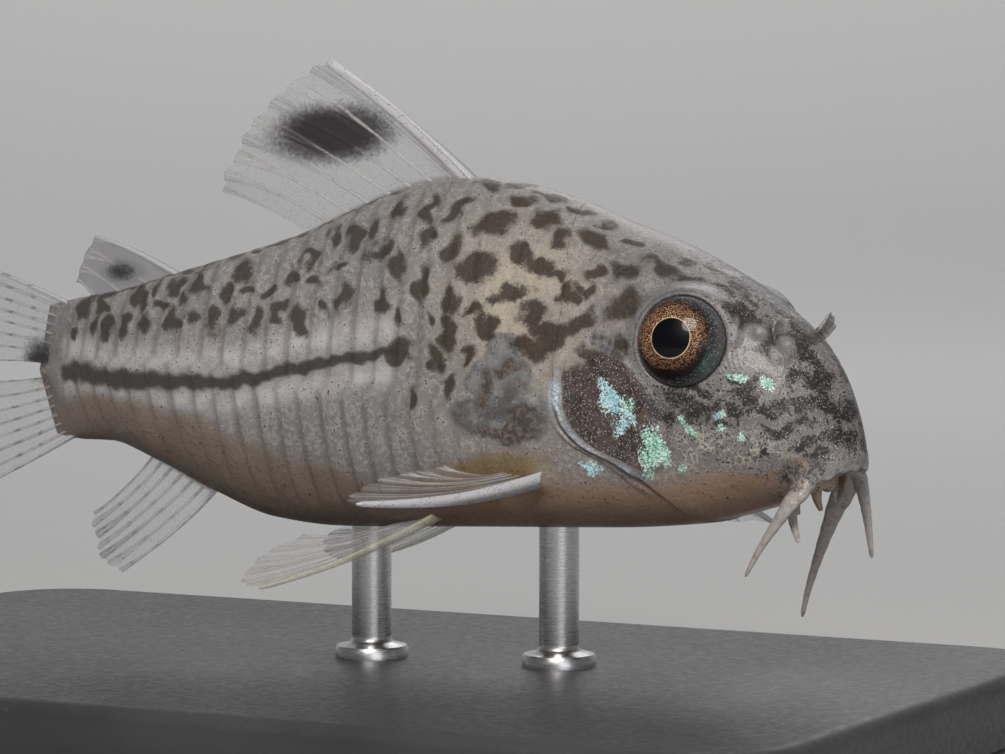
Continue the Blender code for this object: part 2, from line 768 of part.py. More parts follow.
def make_median_fins(finish):
    """Back, adipose, anal and tail fins."""
    fin("dorsal_fin", on_back([(0, 0.474), (1, 0.672)]),
        track([(0, 0.636, 0, 16.6), (0.15, 0.664, 0, 16.1), (0.5, 0.735, 0, 13.6),
               (1, 0.780, 0, 9.6)]), 9, finish, bow=(-0.004, 0.25, 0.25))
    fin("adipose_fin", on_back([(0, 0.832), (1, 0.955)]),
        track([(0, 0.946, 0.2, 7.6), (0.4, 0.966, 0.2, 6.4), (1, 0.985, 0, 4.9)]), 4, finish,
        bow=(0.0, 0.1, 0.3), rows=5)
    fin("anal_fin", on_belly([(0, 0.800), (1, 0.880)]),
        track([(0, 0.935, 0, -11.6), (0.3, 0.972, 0, -10.9), (1, 0.982, 0, -8.2)]), 7, finish,
        bow=(-0.008, 0.2, -0.2))
    root = 1.0 + GAP / BODY_LENGTH
    fin("caudal_fin_upper", track([(0, root, 0, 3.85), (1, root, 0, 0.16)]),
        track([(0, 1.285, 0, 8.4), (0.3, 1.282, 0, 5.9), (0.65, 1.235, 0, 3.2),
               (1, 1.170, 0, 0.4)]), 8, finish, bow=(0.0, 0.35, 0.3))
    fin("caudal_fin_lower", track([(0, root, 0, -3.85), (1, root, 0, -0.16)]),
        track([(0, 1.290, 0, -8.8), (0.3, 1.286, 0, -6.2), (0.65, 1.238, 0, -3.3),
               (1, 1.170, 0, -0.4)]), 8, finish, bow=(0.0, 0.35, -0.3))


def make_paired_fins(finish):
    """Breast and belly fins, with roots cut to the trunk's outline a gap away."""
    pelvic_left = mirrored(PELVIC_TIPS, 0.01)
    made = [
        fin("pelvic_fin_right", track(PELVIC_ROOT), track(PELVIC_TIPS), 7, finish,
            bow=(0, 0.5, -0.4)),
        fin("pelvic_fin_left", track(mirrored(PELVIC_ROOT)), track(pelvic_left), 7, finish,
            bow=(0, -0.5, -0.4)),
        fin("pectoral_fin_right", track(PECTORAL_RIGHT_ROOT), track(PECTORAL_RIGHT_TIPS), 7,
            finish, bow=(0, 0.4, -0.5), lead=0.75 * MM),
        fin("pectoral_fin_left", track(PECTORAL_LEFT_ROOT), track(PECTORAL_LEFT_TIPS), 7, finish,
            bow=(0, -0.4, 0.6), lead=0.75 * MM)]
    for piece in made:
        apply_boolean(piece, "DIFFERENCE", [trunk_cutter(PLATE_RISE + GAP)])


def make_eyes(finish):
    """The two eyeballs, a gap inside their sockets."""
    for side, sign in (("right", 1), ("left", -1)):
        eye = ball("eye_" + side, eye_axes(sign), (EYE_RADIUS, EYE_RADIUS, EYE_DEPTH))
        eye.data.materials.append(finish)


def make_gill_covers(finish):
    """The two gill covers, a gap inside their pockets."""
    for side, sign in (("right", 1), ("left", -1)):
        gill_cover("gill_cover_" + side, sign, finish)


def make_stand(base_finish, rod_finish):
    """A flat base with rounded corners and two rods up to the belly."""
    points = []
    faces = []
    corner_steps = 7
    heights = [(0.0, 0.0), (BASE_THICKNESS - BASE_BEVEL, 0.0), (BASE_THICKNESS, BASE_BEVEL)]
    for height, inset in heights:
        for corner, (sign_x, sign_y) in enumerate([(1, 1), (-1, 1), (-1, -1), (1, -1)]):
            centre_x = sign_x * (BASE_LENGTH / 2 - BASE_CORNER)
            centre_y = sign_y * (BASE_WIDTH / 2 - BASE_CORNER)
            for step in range(corner_steps):
                angle = math.pi / 2 * (corner + step / (corner_steps - 1))
                radius = BASE_CORNER - inset
                points.append((centre_x + radius * math.cos(angle),
                               centre_y + radius * math.sin(angle), height))
    count = 4 * corner_steps
    for ring in range(len(heights) - 1):
        for i in range(count):
            j = (i + 1) % count
            faces.append((ring * count + i, ring * count + j,
                          (ring + 1) * count + j, (ring + 1) * count + i))
    faces.append(tuple(reversed(range(count))))
    faces.append(tuple(2 * count + i for i in range(count)))
    solid("stand_base", points, faces, base_finish)
    for name, station in ROD_STATIONS.items():
        foot = place(station, 0.0, BELLY(station) * BODY_LENGTH)
        axes = Matrix.Translation((foot[0], foot[1], 0))
        rod = frustum("stand_rod_" + name, axes, ROD_RADIUS, ROD_RADIUS, BASE_THICKNESS + GAP,
                      foot[2] + 1.5 * MM, 24)
        apply_boolean(rod, "DIFFERENCE", [trunk_cutter(GAP)])
        rod.data.materials.append(rod_finish)


def main():
    for old in list(bpy.data.objects):
        bpy.data.objects.remove(old)
    skin = material("skin", SKIN_COLOUR, 0.35)
    fins = material("fin", FIN_COLOUR, 0.4)
    make_head(skin)
    make_trunk(skin)
    make_tail_stem(skin)
    make_gill_covers(material("gill_cover", (0.36, 0.27, 0.20), 0.3))
    make_eyes(material("eye", (0.05, 0.03, 0.02), 0.08))
    make_barbels(material("barbel", (0.66, 0.62, 0.56), 0.4))
    make_median_fins(fins)
    make_paired_fins(fins)
    make_stand(material("stand_base", (0.045, 0.048, 0.052), 0.55),
               material("stand_rod", (0.60, 0.60, 0.60), 0.3, 1.0))


main()
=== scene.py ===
"""The looks of the corydoras catfish model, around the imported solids.

The body is one skin: a fine loft with the same profiles as the solids, joined with lips and
barbels. Its markings are fields on the surface, worked out from places on the body, which
the materials turn into colour. Units are metres.
"""

import math

import bpy
import numpy as np
from mathutils import Matrix, Vector


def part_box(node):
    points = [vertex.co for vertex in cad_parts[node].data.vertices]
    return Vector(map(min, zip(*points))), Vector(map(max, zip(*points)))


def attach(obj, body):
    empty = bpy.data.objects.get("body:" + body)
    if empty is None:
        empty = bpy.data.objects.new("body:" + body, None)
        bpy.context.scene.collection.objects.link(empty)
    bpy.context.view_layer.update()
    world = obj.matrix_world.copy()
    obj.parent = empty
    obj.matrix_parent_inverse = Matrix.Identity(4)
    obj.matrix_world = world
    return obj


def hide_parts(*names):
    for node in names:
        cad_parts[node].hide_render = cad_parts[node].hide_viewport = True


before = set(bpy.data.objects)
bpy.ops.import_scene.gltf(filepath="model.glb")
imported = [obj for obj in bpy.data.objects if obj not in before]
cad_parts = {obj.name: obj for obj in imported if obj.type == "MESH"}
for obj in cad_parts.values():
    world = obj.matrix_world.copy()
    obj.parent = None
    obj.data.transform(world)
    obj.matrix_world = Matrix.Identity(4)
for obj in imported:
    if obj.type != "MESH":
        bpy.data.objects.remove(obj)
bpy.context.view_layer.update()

# Driving dimensions, as in the solids
MM = 0.001
BODY_LENGTH = 50 * MM
AXIS_HEIGHT = 20.5 * MM
PITCH = math.radians(3.5)
SNOUT_X = 31.0 * MM
SNOUT_Y = 0.8 * MM
SNOUT_TIP = 0.013

PLATE_COUNT = 22
PLATE_START = 0.375
PLATE_END = 0.985
PLATE_PITCH = (PLATE_END - PLATE_START) / PLATE_COUNT
FLANK_LINE = 96

EYE_STATION = 0.172
EYE_SIDE = 0.0925 * BODY_LENGTH
EYE_LEVEL = 0.010 * BODY_LENGTH
EYE_RADIUS = 2.4 * MM
EYE_DEPTH = 1.35 * MM
EYE_TOE_OUT = math.radians(17)
EYE_TILT_UP = math.radians(9)

# How far the eyeballs sink into the head and the cornea bulges, and where the pupil and the
# iris lie, in mm to the tail and up from the eye's middle
EYE_SINK = 0.35 * MM
LEFT_EYE_DROP = 0.30 * MM
LEFT_EYE_SINK = 0.20 * MM
CORNEA_RISE = 0.10 * MM
PUPIL_SHIFT = (0.25, 0.05)
IRIS_SHIFT = 0.30

# The socket and the lids round it, by distance from the eye's middle and by height
SOCKET_REACH = 4.6 * MM
SOCKET_DEPTH = 2.6 * MM
SOCKET_FLOOR = 0.9 * MM
LID_HEIGHT = 0.16 * MM
LID_OUTER = 3.4 * MM
LID_FOLD = 0.06 * MM
LID_CREASE = 2.66 * MM
LID_CREASE_DEPTH = 0.05 * MM
WRINKLE = 0.012 * MM
WRINKLE_GAP = 0.16 * MM
NOSTRIL_RIM = 0.04 * MM
NOSTRIL_PIT = 0.10 * MM

# Relief of the skin
PLATE_RISE = 0.068 * MM
GILL_STEP = 0.30 * MM
AROUND_COUNT = 440
HEAD_RINGS = 170
NAPE_RINGS = 40
TAIL_RINGS = 26
TAIL_ROOT = 1.050
PLATE_PARTS = (0.0, 0.07, 0.15, 0.24, 0.34, 0.44, 0.54, 0.63, 0.71, 0.78, 0.84, 0.89, 0.94)

# The fish's right and left side, and a distance beyond everything on it
SIDES = (1, -1)
FAR_AWAY = 1.0

# Fins
WEB_HALF = 0.045 * MM
RAY_HALF = 0.085 * MM
FIN_ROWS = 96
COLUMNS_A_RAY = 16
RAY_SEGMENT = 0.33 * MM

# Display stand: a collar's profile is in rod radii and mm above the floor
BASE_CORNER = 6 * MM
BASE_ROLL = 0.9 * MM
BASE_CHAMFER = 0.25 * MM
CORNER_POINTS = 24
ROD_SIDES = 72
ROD_SINK = 0.6 * MM
ROD_COLLAR = [(1.0, 3.9), (1.75, 3.9), (1.85, 4.0), (1.85, 4.5), (1.75, 4.65), (1.15, 4.8),
              (1.0, 5.0)]

# The photograph's view: the right eye lies these pixels right of and above its middle
VIEW_AZIMUTH = math.radians(28)
VIEW_ELEVATION = math.radians(4)
VIEW_DISTANCE = 230 * MM
LENS = 158.2
SENSOR_WIDTH = 36
PHOTO_WIDTH = 1005
EYE_IN_VIEW = (0.170, 4.8 * MM, 0.5 * MM)
EYE_PIXELS = (177.5, 36)

# Studio: each light's name, place, aim, size in metres, power in watts and colour
SWEEP_RADIUS = 0.85
BOWL_SIDES = 96
FLOOR_GAP = 0.0002
AIM = (0.008, 0.0, 0.02)
LIGHTS = [
    ("key", (0.10, -0.26, 0.26), AIM, 0.16, 0.95, (1.0, 0.97, 0.93)),
    ("fill", (0.30, -0.30, 0.06), AIM, 0.26, 0.30, (0.92, 0.95, 1.0)),
    ("back", (-0.06, 0.28, 0.26), AIM, 0.26, 0.26, (0.97, 0.97, 1.0)),
    ("backdrop", (-0.20, 0.40, 0.75), (-0.55, 1.05, 0.35), 0.5, 3.8, (1.0, 1.0, 1.0)),
]

rng = np.random.default_rng(11)


def smooth_curve(knots):
    """A function through (place, value) knots that rises and falls only where they do."""
    places = np.array([knot[0] for knot in knots], float)
    values = np.array([knot[1] for knot in knots], float)
    spans = np.diff(places)
    slopes = np.diff(values) / spans
    tangents = np.zeros(len(places))
    tangents[0] = slopes[0]
    tangents[-1] = slopes[-1]
    for i in range(1, len(places) - 1):
        if slopes[i - 1] * slopes[i] > 0:
            before = 2 * spans[i] + spans[i - 1]
            after = spans[i] + 2 * spans[i - 1]
            tangents[i] = (before + after) / (before / slopes[i - 1] + after / slopes[i])

    def value_at(place):
        place = np.clip(np.asarray(place, float), places[0], places[-1])
        i = np.clip(np.searchsorted(places, place, side="right") - 1, 0, len(places) - 2)
        t = (place - places[i]) / spans[i]
        start = (1 + 2 * t) * (1 - t) ** 2 * values[i] + t * (1 - t) ** 2 * spans[i] * tangents[i]
        end = t * t * (3 - 2 * t) * values[i + 1] + t * t * (t - 1) * spans[i] * tangents[i + 1]
        return start + end

    return value_at


HEADING = smooth_curve([(0, 9), (0.24, 9), (0.46, -8), (0.78, -9), (0.96, 12), (1.3, 14)])
BACK = smooth_curve([
    (SNOUT_TIP, -0.122), (0.018, -0.102), (0.028, -0.064), (0.05, -0.017), (0.085, 0.021),
    (0.12, 0.048), (0.17, 0.079), (0.23, 0.110), (0.30, 0.138), (0.36, 0.165), (0.43, 0.186),
    (0.49, 0.194), (0.53, 0.191), (0.60, 0.172), (0.68, 0.142), (0.75, 0.124), (0.83, 0.106),
    (0.92, 0.087), (1.0, 0.080)])
BELLY = smooth_curve([
    (SNOUT_TIP, -0.122), (0.02, -0.129), (0.04, -0.137), (0.08, -0.156), (0.13, -0.174),
    (0.20, -0.188), (0.30, -0.192), (0.50, -0.188), (0.65, -0.184), (0.73, -0.172),
    (0.80, -0.142), (0.87, -0.106), (0.94, -0.082), (1.0, -0.080)])
HALF_WIDTH = smooth_curve([
    (SNOUT_TIP, 0), (0.016, 0.012), (0.024, 0.025), (0.045, 0.046), (0.07, 0.064), (0.11, 0.081),
    (0.17, 0.097), (0.25, 0.113), (0.325, 0.123), (0.40, 0.124), (0.49, 0.118), (0.55, 0.110),
    (0.65, 0.092), (0.75, 0.070), (0.85, 0.047), (0.95, 0.029), (1.0, 0.023)])
WIDEST_LEVEL = smooth_curve([
    (SNOUT_TIP, -0.122), (0.022, -0.118), (0.05, -0.100), (0.10, -0.078), (0.15, -0.065),
    (0.33, -0.06), (0.5, -0.055), (0.7, -0.03), (0.85, 0), (1, 0)])
FULLNESS_ABOVE = smooth_curve([(0, 2), (0.1, 2.2), (0.3, 2.0), (0.475, 1.75), (0.7, 1.8), (1, 2)])
FULLNESS_BELOW = smooth_curve([(0, 2), (0.1, 2.6), (0.3, 2.9), (0.5, 2.8), (0.7, 2.3), (1, 2)])
HEAD_EDGE = smooth_curve([
    (0, 0.190), (40, 0.198), (62, 0.222), (74, 0.250), (83, 0.296), (93, 0.326), (104, 0.326),
    (125, 0.322), (150, 0.334), (180, 0.345)])
GILL_COVER_FRONT = smooth_curve([
    (64, 0.208), (74, 0.190), (90, 0.192), (104, 0.214), (113, 0.25)])
STRIPE_LEVEL = smooth_curve([
    (0.53, 0.5), (0.56, 0.39), (0.67, -0.26), (0.75, -0.85), (0.87, -0.63), (0.97, -0.04)])


def running_total(steps):
    """The sum of the steps up to each place, from 0."""
    return np.concatenate([[0], np.cumsum(steps)])


def ring_angles(count):
    """Angles spread evenly round a circle, in radians."""
    return np.linspace(0, math.tau, count, endpoint=False)


def axes_matrix(x, y, z, origin):
    """A matrix with the given directions for its axes, placed at a point."""
    axes = Matrix((x, y, z)).transposed().to_4x4()
    axes.translation = Vector(origin)
    return axes


def spine_table():
    """Stations along the spine, with their places seen from above."""
    stations = np.linspace(0, 1.4, 1401)
    heading = np.radians(HEADING(stations))
    step = BODY_LENGTH * np.diff(stations)
    forward_x = np.cos(heading)
    forward_y = -np.sin(heading)
    x = SNOUT_X - running_total((forward_x[1:] + forward_x[:-1]) / 2 * step)
    y = SNOUT_Y - running_total((forward_y[1:] + forward_y[:-1]) / 2 * step)
    return stations, x, y


SPINE_STATION, SPINE_X, SPINE_Y = spine_table()


def place(station, side, level):
    """World points for places on the straight body: side is to the fish's right."""
    station = np.asarray(station, float)
    heading = np.radians(HEADING(station))
    x = np.interp(station, SPINE_STATION, SPINE_X) - np.sin(heading) * side
    y = np.interp(station, SPINE_STATION, SPINE_Y) - np.cos(heading) * side
    up = level + 0 * x
    tilted_x = x * math.cos(PITCH) - up * math.sin(PITCH)
    tilted_z = x * math.sin(PITCH) + up * math.cos(PITCH)
    return np.stack([tilted_x, y, AXIS_HEIGHT + tilted_z], axis=-1)


def section(station, degrees, raised=0.0):
    """Side and level on the body's outline, by degrees up from the middle of the belly."""
    angle = np.radians(degrees)
    top = BACK(station) * BODY_LENGTH + raised
    bottom = BELLY(station) * BODY_LENGTH - raised
    width = HALF_WIDTH(station) * BODY_LENGTH + raised
    middle = WIDEST_LEVEL(station) * BODY_LENGTH
    below = np.cos(angle) > 0
    power = 2 / np.where(below, FULLNESS_BELOW(station), FULLNESS_ABOVE(station))
    side = width * np.sign(np.sin(angle)) * np.abs(np.sin(angle)) ** power
    reach = np.where(below, middle - bottom, top - middle)
    level = middle - np.sign(np.cos(angle)) * reach * np.abs(np.cos(angle)) ** power
    return side, level


def skin_point(station, degrees, raised=0.0):
    """World points on the body's surface, raised off it by a distance."""
    side, level = section(station, degrees, raised)
    return place(station, side, level)


def body_places(points):
    """Station, degrees and height off the surface of world points near the body."""
    turned_x = points[:, 0] * math.cos(PITCH) + (points[:, 2] - AXIS_HEIGHT) * math.sin(PITCH)
    level = -points[:, 0] * math.sin(PITCH) + (points[:, 2] - AXIS_HEIGHT) * math.cos(PITCH)
    station = np.clip((SNOUT_X - turned_x) / BODY_LENGTH, SNOUT_TIP, 1.35)
    for _ in range(12):
        heading = np.radians(HEADING(station))
        away_x = turned_x - np.interp(station, SPINE_STATION, SPINE_X)
        away_y = points[:, 1] - np.interp(station, SPINE_STATION, SPINE_Y)
        ahead = away_x * np.cos(heading) - away_y * np.sin(heading)
        station = np.clip(station - 0.9 * ahead / BODY_LENGTH, SNOUT_TIP, 1.35)
    side = -away_x * np.sin(heading) - away_y * np.cos(heading)
    middle = WIDEST_LEVEL(station) * BODY_LENGTH
    below = level < middle
    bottom = BELLY(station) * BODY_LENGTH
    top = BACK(station) * BODY_LENGTH
    reach = np.where(below, middle - bottom, top - middle)
    fullness = np.where(below, FULLNESS_BELOW(station), FULLNESS_ABOVE(station))
    width = np.maximum(HALF_WIDTH(station) * BODY_LENGTH, 0.05 * MM)
    across = (np.abs(side) / width) ** (fullness / 2)
    upward = (np.abs(level - middle) / reach) ** (fullness / 2)
    angle = np.degrees(np.arctan2(across, upward))
    up = np.where(below, angle, 180 - angle)
    size = (across ** 2 + upward ** 2) ** (1 / fullness)
    height = (size - 1) * np.minimum(width, reach)
    return station, up, side, level, height


def surface_frame(station, degrees):
    """A point of the surface with its directions to the tail, to the back, and outwards."""
    step = 0.002
    sign = 1 if degrees >= 0 else -1
    centre = skin_point(station, degrees)
    along = skin_point(station + step, degrees) - skin_point(station - step, degrees)
    along /= np.linalg.norm(along)
    around = skin_point(station, degrees + sign) - skin_point(station, degrees - sign)
    around -= along * (around @ along)
    around /= np.linalg.norm(around)
    outward = np.cross(along, around)
    middle = place(station, 0.0, WIDEST_LEVEL(station) * BODY_LENGTH)
    if outward @ (centre - middle) < 0:
        outward = -outward
    return centre, along, around, outward


def skin_axes(station, degrees):
    """The surface frame as a matrix: X to the tail, Y to the back, Z outwards."""
    centre, along, around, outward = surface_frame(station, degrees)
    return axes_matrix(along, around, outward, centre)


def folded(degrees):
    """Degrees up from the belly on either side, from 0 to 180."""
    degrees = np.abs(degrees)
    return np.where(degrees > 180, 360 - degrees, degrees)


def step_between(value, low, high):
    """A smooth step from 0 at low to 1 at high."""
    t = np.clip((value - low) / (high - low), 0, 1)
    return t * t * (3 - 2 * t)


def between(value, low, low_end, high, high_end):
    """A smooth rise to 1, then a smooth fall back to 0."""
    return step_between(value, low, low_end) * (1 - step_between(value, high, high_end))


def hump(value, middle, half):
    """A smooth bump, 1 at the middle."""
    return np.exp(-((value - middle) / half) ** 2)


def plate_edge(number, degrees):
    """The station of a plate's front edge: the lower row is set half a plate further back."""
    up = folded(degrees)
    below_line = 1 - step_between(up, FLANK_LINE - 4, FLANK_LINE + 4)
    lean = 0.7 * np.abs(up - FLANK_LINE) / 90
    return PLATE_START + (number + 0.5 * below_line - lean) * PLATE_PITCH


def plate_wander(number, angle):
    """How far a plate's edge strays along the fish, by the angle round the body."""
    return 0.0011 * np.sin(3 * angle + 1.7 * number) + 0.0007 * np.sin(7 * angle + 2.3 * number)


def plate_mask(up):
    """Where the flank wears plates: not on the belly, and less on the back."""
    flank = step_between(up, 34, 52) * (1 - 0.6 * step_between(up, 158, 176))
    return flank * (1 - 0.5 * hump(up, FLANK_LINE, 3.5))


def waves(points, size, seed, count=18):
    """Smooth noise of about -1 to 1 with lumps of a given size."""
    draw = np.random.default_rng(seed)
    directions = draw.normal(size=(count, 3))
    directions /= np.linalg.norm(directions, axis=1, keepdims=True)
    lengths = math.tau / (size * draw.uniform(1.2, 2.6, count))
    phases = draw.uniform(0, math.tau, count)
    total = np.zeros(len(points))
    for direction, length, phase in zip(directions, lengths, phases):
        total += np.sin(points @ direction * length + phase)
    return total / math.sqrt(count / 2)


def eye_axes(sign):
    """The eye's centre, with Z looking out of the head; sign is 1 for the right eye."""
    centre = Vector(place(EYE_STATION, sign * EYE_SIDE, EYE_LEVEL))
    heading = math.radians(float(HEADING(EYE_STATION)))
    right = Vector((-math.sin(heading), -math.cos(heading), 0)) * sign
    forward = Vector((math.cos(heading), -math.sin(heading), 0))
    flat = right * math.cos(EYE_TOE_OUT) + forward * math.sin(EYE_TOE_OUT)
    outward = flat * math.cos(EYE_TILT_UP) + Vector((0, 0, 1)) * math.sin(EYE_TILT_UP)
    along = (-forward - outward * -forward.dot(outward)).normalized()
    up = Vector((0, 0, 1))
    across = (up - outward * up.dot(outward) - along * up.dot(along)).normalized()
    axes = axes_matrix(along, across, outward, centre - outward * EYE_SINK)
    if sign < 0:
        axes.translation -= Vector((0, 0, LEFT_EYE_DROP)) + outward * LEFT_EYE_SINK
    return axes


def into(axes, points):
    """World points in a matrix's own coordinates."""
    inverse = np.array(axes.inverted_safe())
    return points @ inverse[:3, :3].T + inverse[:3, 3]


def seen_along(axes, points):
    """World points in a matrix's own coordinates, with their distances from its Z axis."""
    local = into(axes, points)
    return local, np.hypot(local[:, 0], local[:, 1])


def out_of(axes, points):
    """Points in a matrix's own coordinates as world points."""
    forward = np.array(axes)
    return points @ forward[:3, :3].T + forward[:3, 3]


def mesh_object(name, points, faces):
    """An object from an array of points and one of faces with the same number of corners."""
    faces = np.asarray(faces, dtype=np.int32)
    points = np.asarray(points, dtype=np.float32)
    mesh = bpy.data.meshes.new(name)
    mesh.vertices.add(len(points))
    mesh.vertices.foreach_set("co", points.ravel())
    mesh.loops.add(faces.size)
    mesh.loops.foreach_set("vertex_index", faces.ravel())
    mesh.polygons.add(len(faces))
    mesh.polygons.foreach_set("loop_start", np.arange(len(faces), dtype=np.int32) * faces.shape[1])
    mesh.update(calc_edges=True)
    mesh.shade_smooth()
    made = bpy.data.objects.new(name, mesh)
    bpy.context.scene.collection.objects.link(made)
    return made


def grid_faces(rows, columns, closed):
    """Triangles between the points of a grid, whose columns may close into rings."""
    last = columns if closed else columns - 1
    row = np.arange(rows - 1)[:, None] * columns
    start = np.arange(last)[None, :]
    end = (start + 1) % columns
    a, b = row + start, row + end
    c, d = b + columns, a + columns
    return np.concatenate([np.stack([a, b, c], -1).reshape(-1, 3),
                           np.stack([a, c, d], -1).reshape(-1, 3)])


def closed_object(name, points, faces):
    """An object from the triangles of one closed surface, turned outwards."""
    corners = points[faces]
    middle = points.mean(axis=0)
    a, b, c = (corners[:, i] - middle for i in range(3))
    if (np.cross(a, b) * c).sum() < 0:
        faces = faces[:, ::-1]
    return mesh_object(name, points, faces)


def loft(name, rings, front_pole, rear_pole):
    """A closed object through rings of points, with a point at each end."""
    rows, columns = rings.shape[:2]
    points = np.concatenate([rings.reshape(-1, 3), [front_pole], [rear_pole]])
    front = rows * columns
    i = np.arange(columns)
    j = (i + 1) % columns
    last = (rows - 1) * columns
    front_fan = np.stack([np.full(columns, front), j, i], -1)
    rear_fan = np.stack([np.full(columns, front + 1), last + i, last + j], -1)
    faces = np.concatenate([grid_faces(rows, columns, True), front_fan, rear_fan])
    return closed_object(name, points, faces)


def tube(name, path, widths, sides=28, flat=1.0, across_hint=None):
    """A closed tube along world points, with a radius at each, flattened across one way."""
    path = np.asarray(path)
    run = np.gradient(path, axis=0)
    rings = []
    ahead = Vector(run[0]).normalized()
    across = Vector(across_hint) if across_hint is not None else ahead.orthogonal()
    for point, direction, width in zip(path, run, widths):
        direction = Vector(direction).normalized()
        across = (across - direction * across.dot(direction)).normalized()
        other = direction.cross(across)
        angles = ring_angles(sides)
        ring = (point + width * np.cos(angles)[:, None] * np.array(across)
                + width * flat * np.sin(angles)[:, None] * np.array(other))
        rings.append(ring)
    return loft(name, np.array(rings), path[0], path[-1])


def stretch(path, count):
    """Points spread evenly along a line."""
    run = running_total(np.linalg.norm(np.diff(path, axis=0), axis=1))
    spots = np.linspace(0, run[-1], count)
    return np.stack([np.interp(spots, run, path[:, axis]) for axis in range(3)], axis=-1)


def body_path(knots, count):
    """World points on a smooth line through (station, side, level) knots in body places."""
    places = np.linspace(0, 1, len(knots))
    tracks = [smooth_curve(list(zip(places, values))) for values in zip(*knots)]
    t = np.linspace(0, 1, 200)
    station, side, level = [track(t) for track in tracks]
    return stretch(place(station, side * MM, level * MM), count)


BARBELS = {
    "maxillary_barbel_right": [
        (0.066, 1.7, -6.6), (0.060, 2.4, -7.4), (0.071, 3.2, -8.5), (0.100, 3.6, -10.5),
        (0.117, 3.8, -11.9)],
    "maxillary_barbel_left": [
        (0.070, -1.7, -6.6), (0.070, -2.4, -7.6), (0.089, -2.9, -9.0), (0.112, -3.2, -11.0),
        (0.135, -3.4, -13.4), (0.144, -3.4, -14.8)],
    "rictal_barbel_right": [
        (0.084, 1.2, -6.8), (0.086, 1.5, -7.9), (0.078, 2.0, -9.1), (0.062, 2.8, -10.2)],
    "rictal_barbel_left": [
        (0.052, -1.5, -6.3), (0.048, -2.2, -7.2), (0.050, -2.9, -9.0), (0.052, -3.4, -11.6)],
}
NOSTRILS = {"front": (0.078, 147), "rear": (0.103, 142)}

# How finely the lips, chin lobes and barbels are cut
LIP_ROWS = 16
LIP_COLUMNS = 120
LOWER_LIP_POINTS = 60
LOBE_POINTS = 24
BARBEL_POINTS = 90
SLIT_ROWS = 8
SLIT_COLUMNS = 60


def around_degrees():
    """Degrees of the points of a ring, spaced evenly on the widest section."""
    fine = np.linspace(0, 180, 3601)
    side, level = section(0.3, fine)
    run = running_total(np.hypot(np.diff(side), np.diff(level)))
    even = np.interp(np.linspace(0, 1, AROUND_COUNT // 2 + 1), run / run[-1], fine)
    linear = np.linspace(0, 180, AROUND_COUNT // 2 + 1)
    half = 0.8 * even + 0.2 * linear
    return np.concatenate([half, 360 - half[-2:0:-1]])


def gill_opening(up):
    """Where the head's rear edge stands free of the trunk."""
    return between(up, 18, 42, 106, 118)


def head_relief(station, up):
    """Height of the head's bones under the skin."""
    edge = HEAD_EDGE(up)
    front = GILL_COVER_FRONT(up)
    rows = between(up, 62, 70, 106, 114)
    cover = rows * step_between(station, front, front + 0.022)
    groove = rows * hump(station, front, 0.006)
    brow = hump(up, 148, 12) * between(station, 0.10, 0.16, 0.22, 0.3)
    lip = gill_opening(up) * step_between(station, edge - 0.035, edge) * 0.5
    cheek = hump(station, 0.115, 0.05) * hump(up, 78, 18)
    throat = hump(up, 0, 16) * hump(station, 0.165, 0.05)
    return (0.20 * cover - 0.13 * groove + 0.14 * brow + 0.12 * lip + 0.16 * cheek
            - 0.10 * throat) * MM


def nape_relief(station, up):
    """Height of the bony collar and of the fold just behind the gill opening."""
    collar = hump(station, 0.372, 0.022) * hump(up, 98, 14)
    fold = hump(station, HEAD_EDGE(up) + 0.014, 0.0045) * step_between(up, 48, 60)
    fold = fold * (1 - step_between(up, 84, 92))
    root = hump(station, 0.366, 0.022) * hump(up, 66, 8)
    return (0.14 * collar + 0.12 * fold + 0.30 * root) * MM


def skin_rings():
    """The skin's rings: head, gill opening, nape, then plate after plate."""
    degrees = around_degrees()
    up = folded(degrees)
    edge = HEAD_EDGE(up)
    rings = []
    parts = (np.arange(1, HEAD_RINGS + 1) / HEAD_RINGS) ** 1.35
    for part in parts:
        station = SNOUT_TIP + (edge - SNOUT_TIP) * part
        rings.append(skin_point(station, degrees, head_relief(station, up)))
    opening = gill_opening(up)
    rim = head_relief(edge, up)
    first = plate_edge(0, degrees) + plate_wander(0, np.radians(degrees))
    for shift, drop in ((0.0006, 0.35), (0.0009, 0.75), (0.0006, 1.1), (0.0016, 1.2),
                        (0.0036, 1.0), (0.0066, 0.75)):
        station = edge + shift
        raised = rim * (1 - min(drop, 1.0)) - opening * GILL_STEP * (drop - 0.3) * 0.6
        rings.append(skin_point(station, degrees, raised + nape_relief(station, up)))
    for part in np.linspace(0, 1, NAPE_RINGS)[1:-1]:
        start = edge + 0.0066
        station = start + (first - start) * part
        sunk = -opening * GILL_STEP * 0.27 * max(0.0, 1 - part * 1.6)
        rings.append(skin_point(station, degrees, sunk + nape_relief(station, up)))
    mask = plate_mask(up)
    bend = np.radians(degrees)
    for number in range(PLATE_COUNT):
        front = plate_edge(number, degrees) + plate_wander(number, bend)
        rear = plate_edge(number + 1, degrees) + plate_wander(number + 1, bend)
        strength = mask * (0.35 + 0.65 * min(1.0, number / 6))
        for part in PLATE_PARTS:
            station = front + (rear - front) * part
            height = step_between(part, -0.04, 0.72) * (1 - step_between(part, 0.82, 1.0))
            bony = (height - 0.3) * PLATE_RISE * strength
            rings.append(skin_point(station, degrees, bony + nape_relief(station, up)))
    last = plate_edge(PLATE_COUNT, degrees)
    end = 1.052 - 0.022 * np.abs(np.cos(bend))
    for part in np.linspace(0, 1, TAIL_RINGS)[1:]:
        station = last + (end - last) * part
        thin = 1 - 0.93 * step_between(part, 0.0, 1.0)
        side, level = section(np.minimum(station, 1.0), degrees)
        rings.append(place(station, side * thin, level * (1 - 0.08 * part ** 2)))
    return np.array(rings)


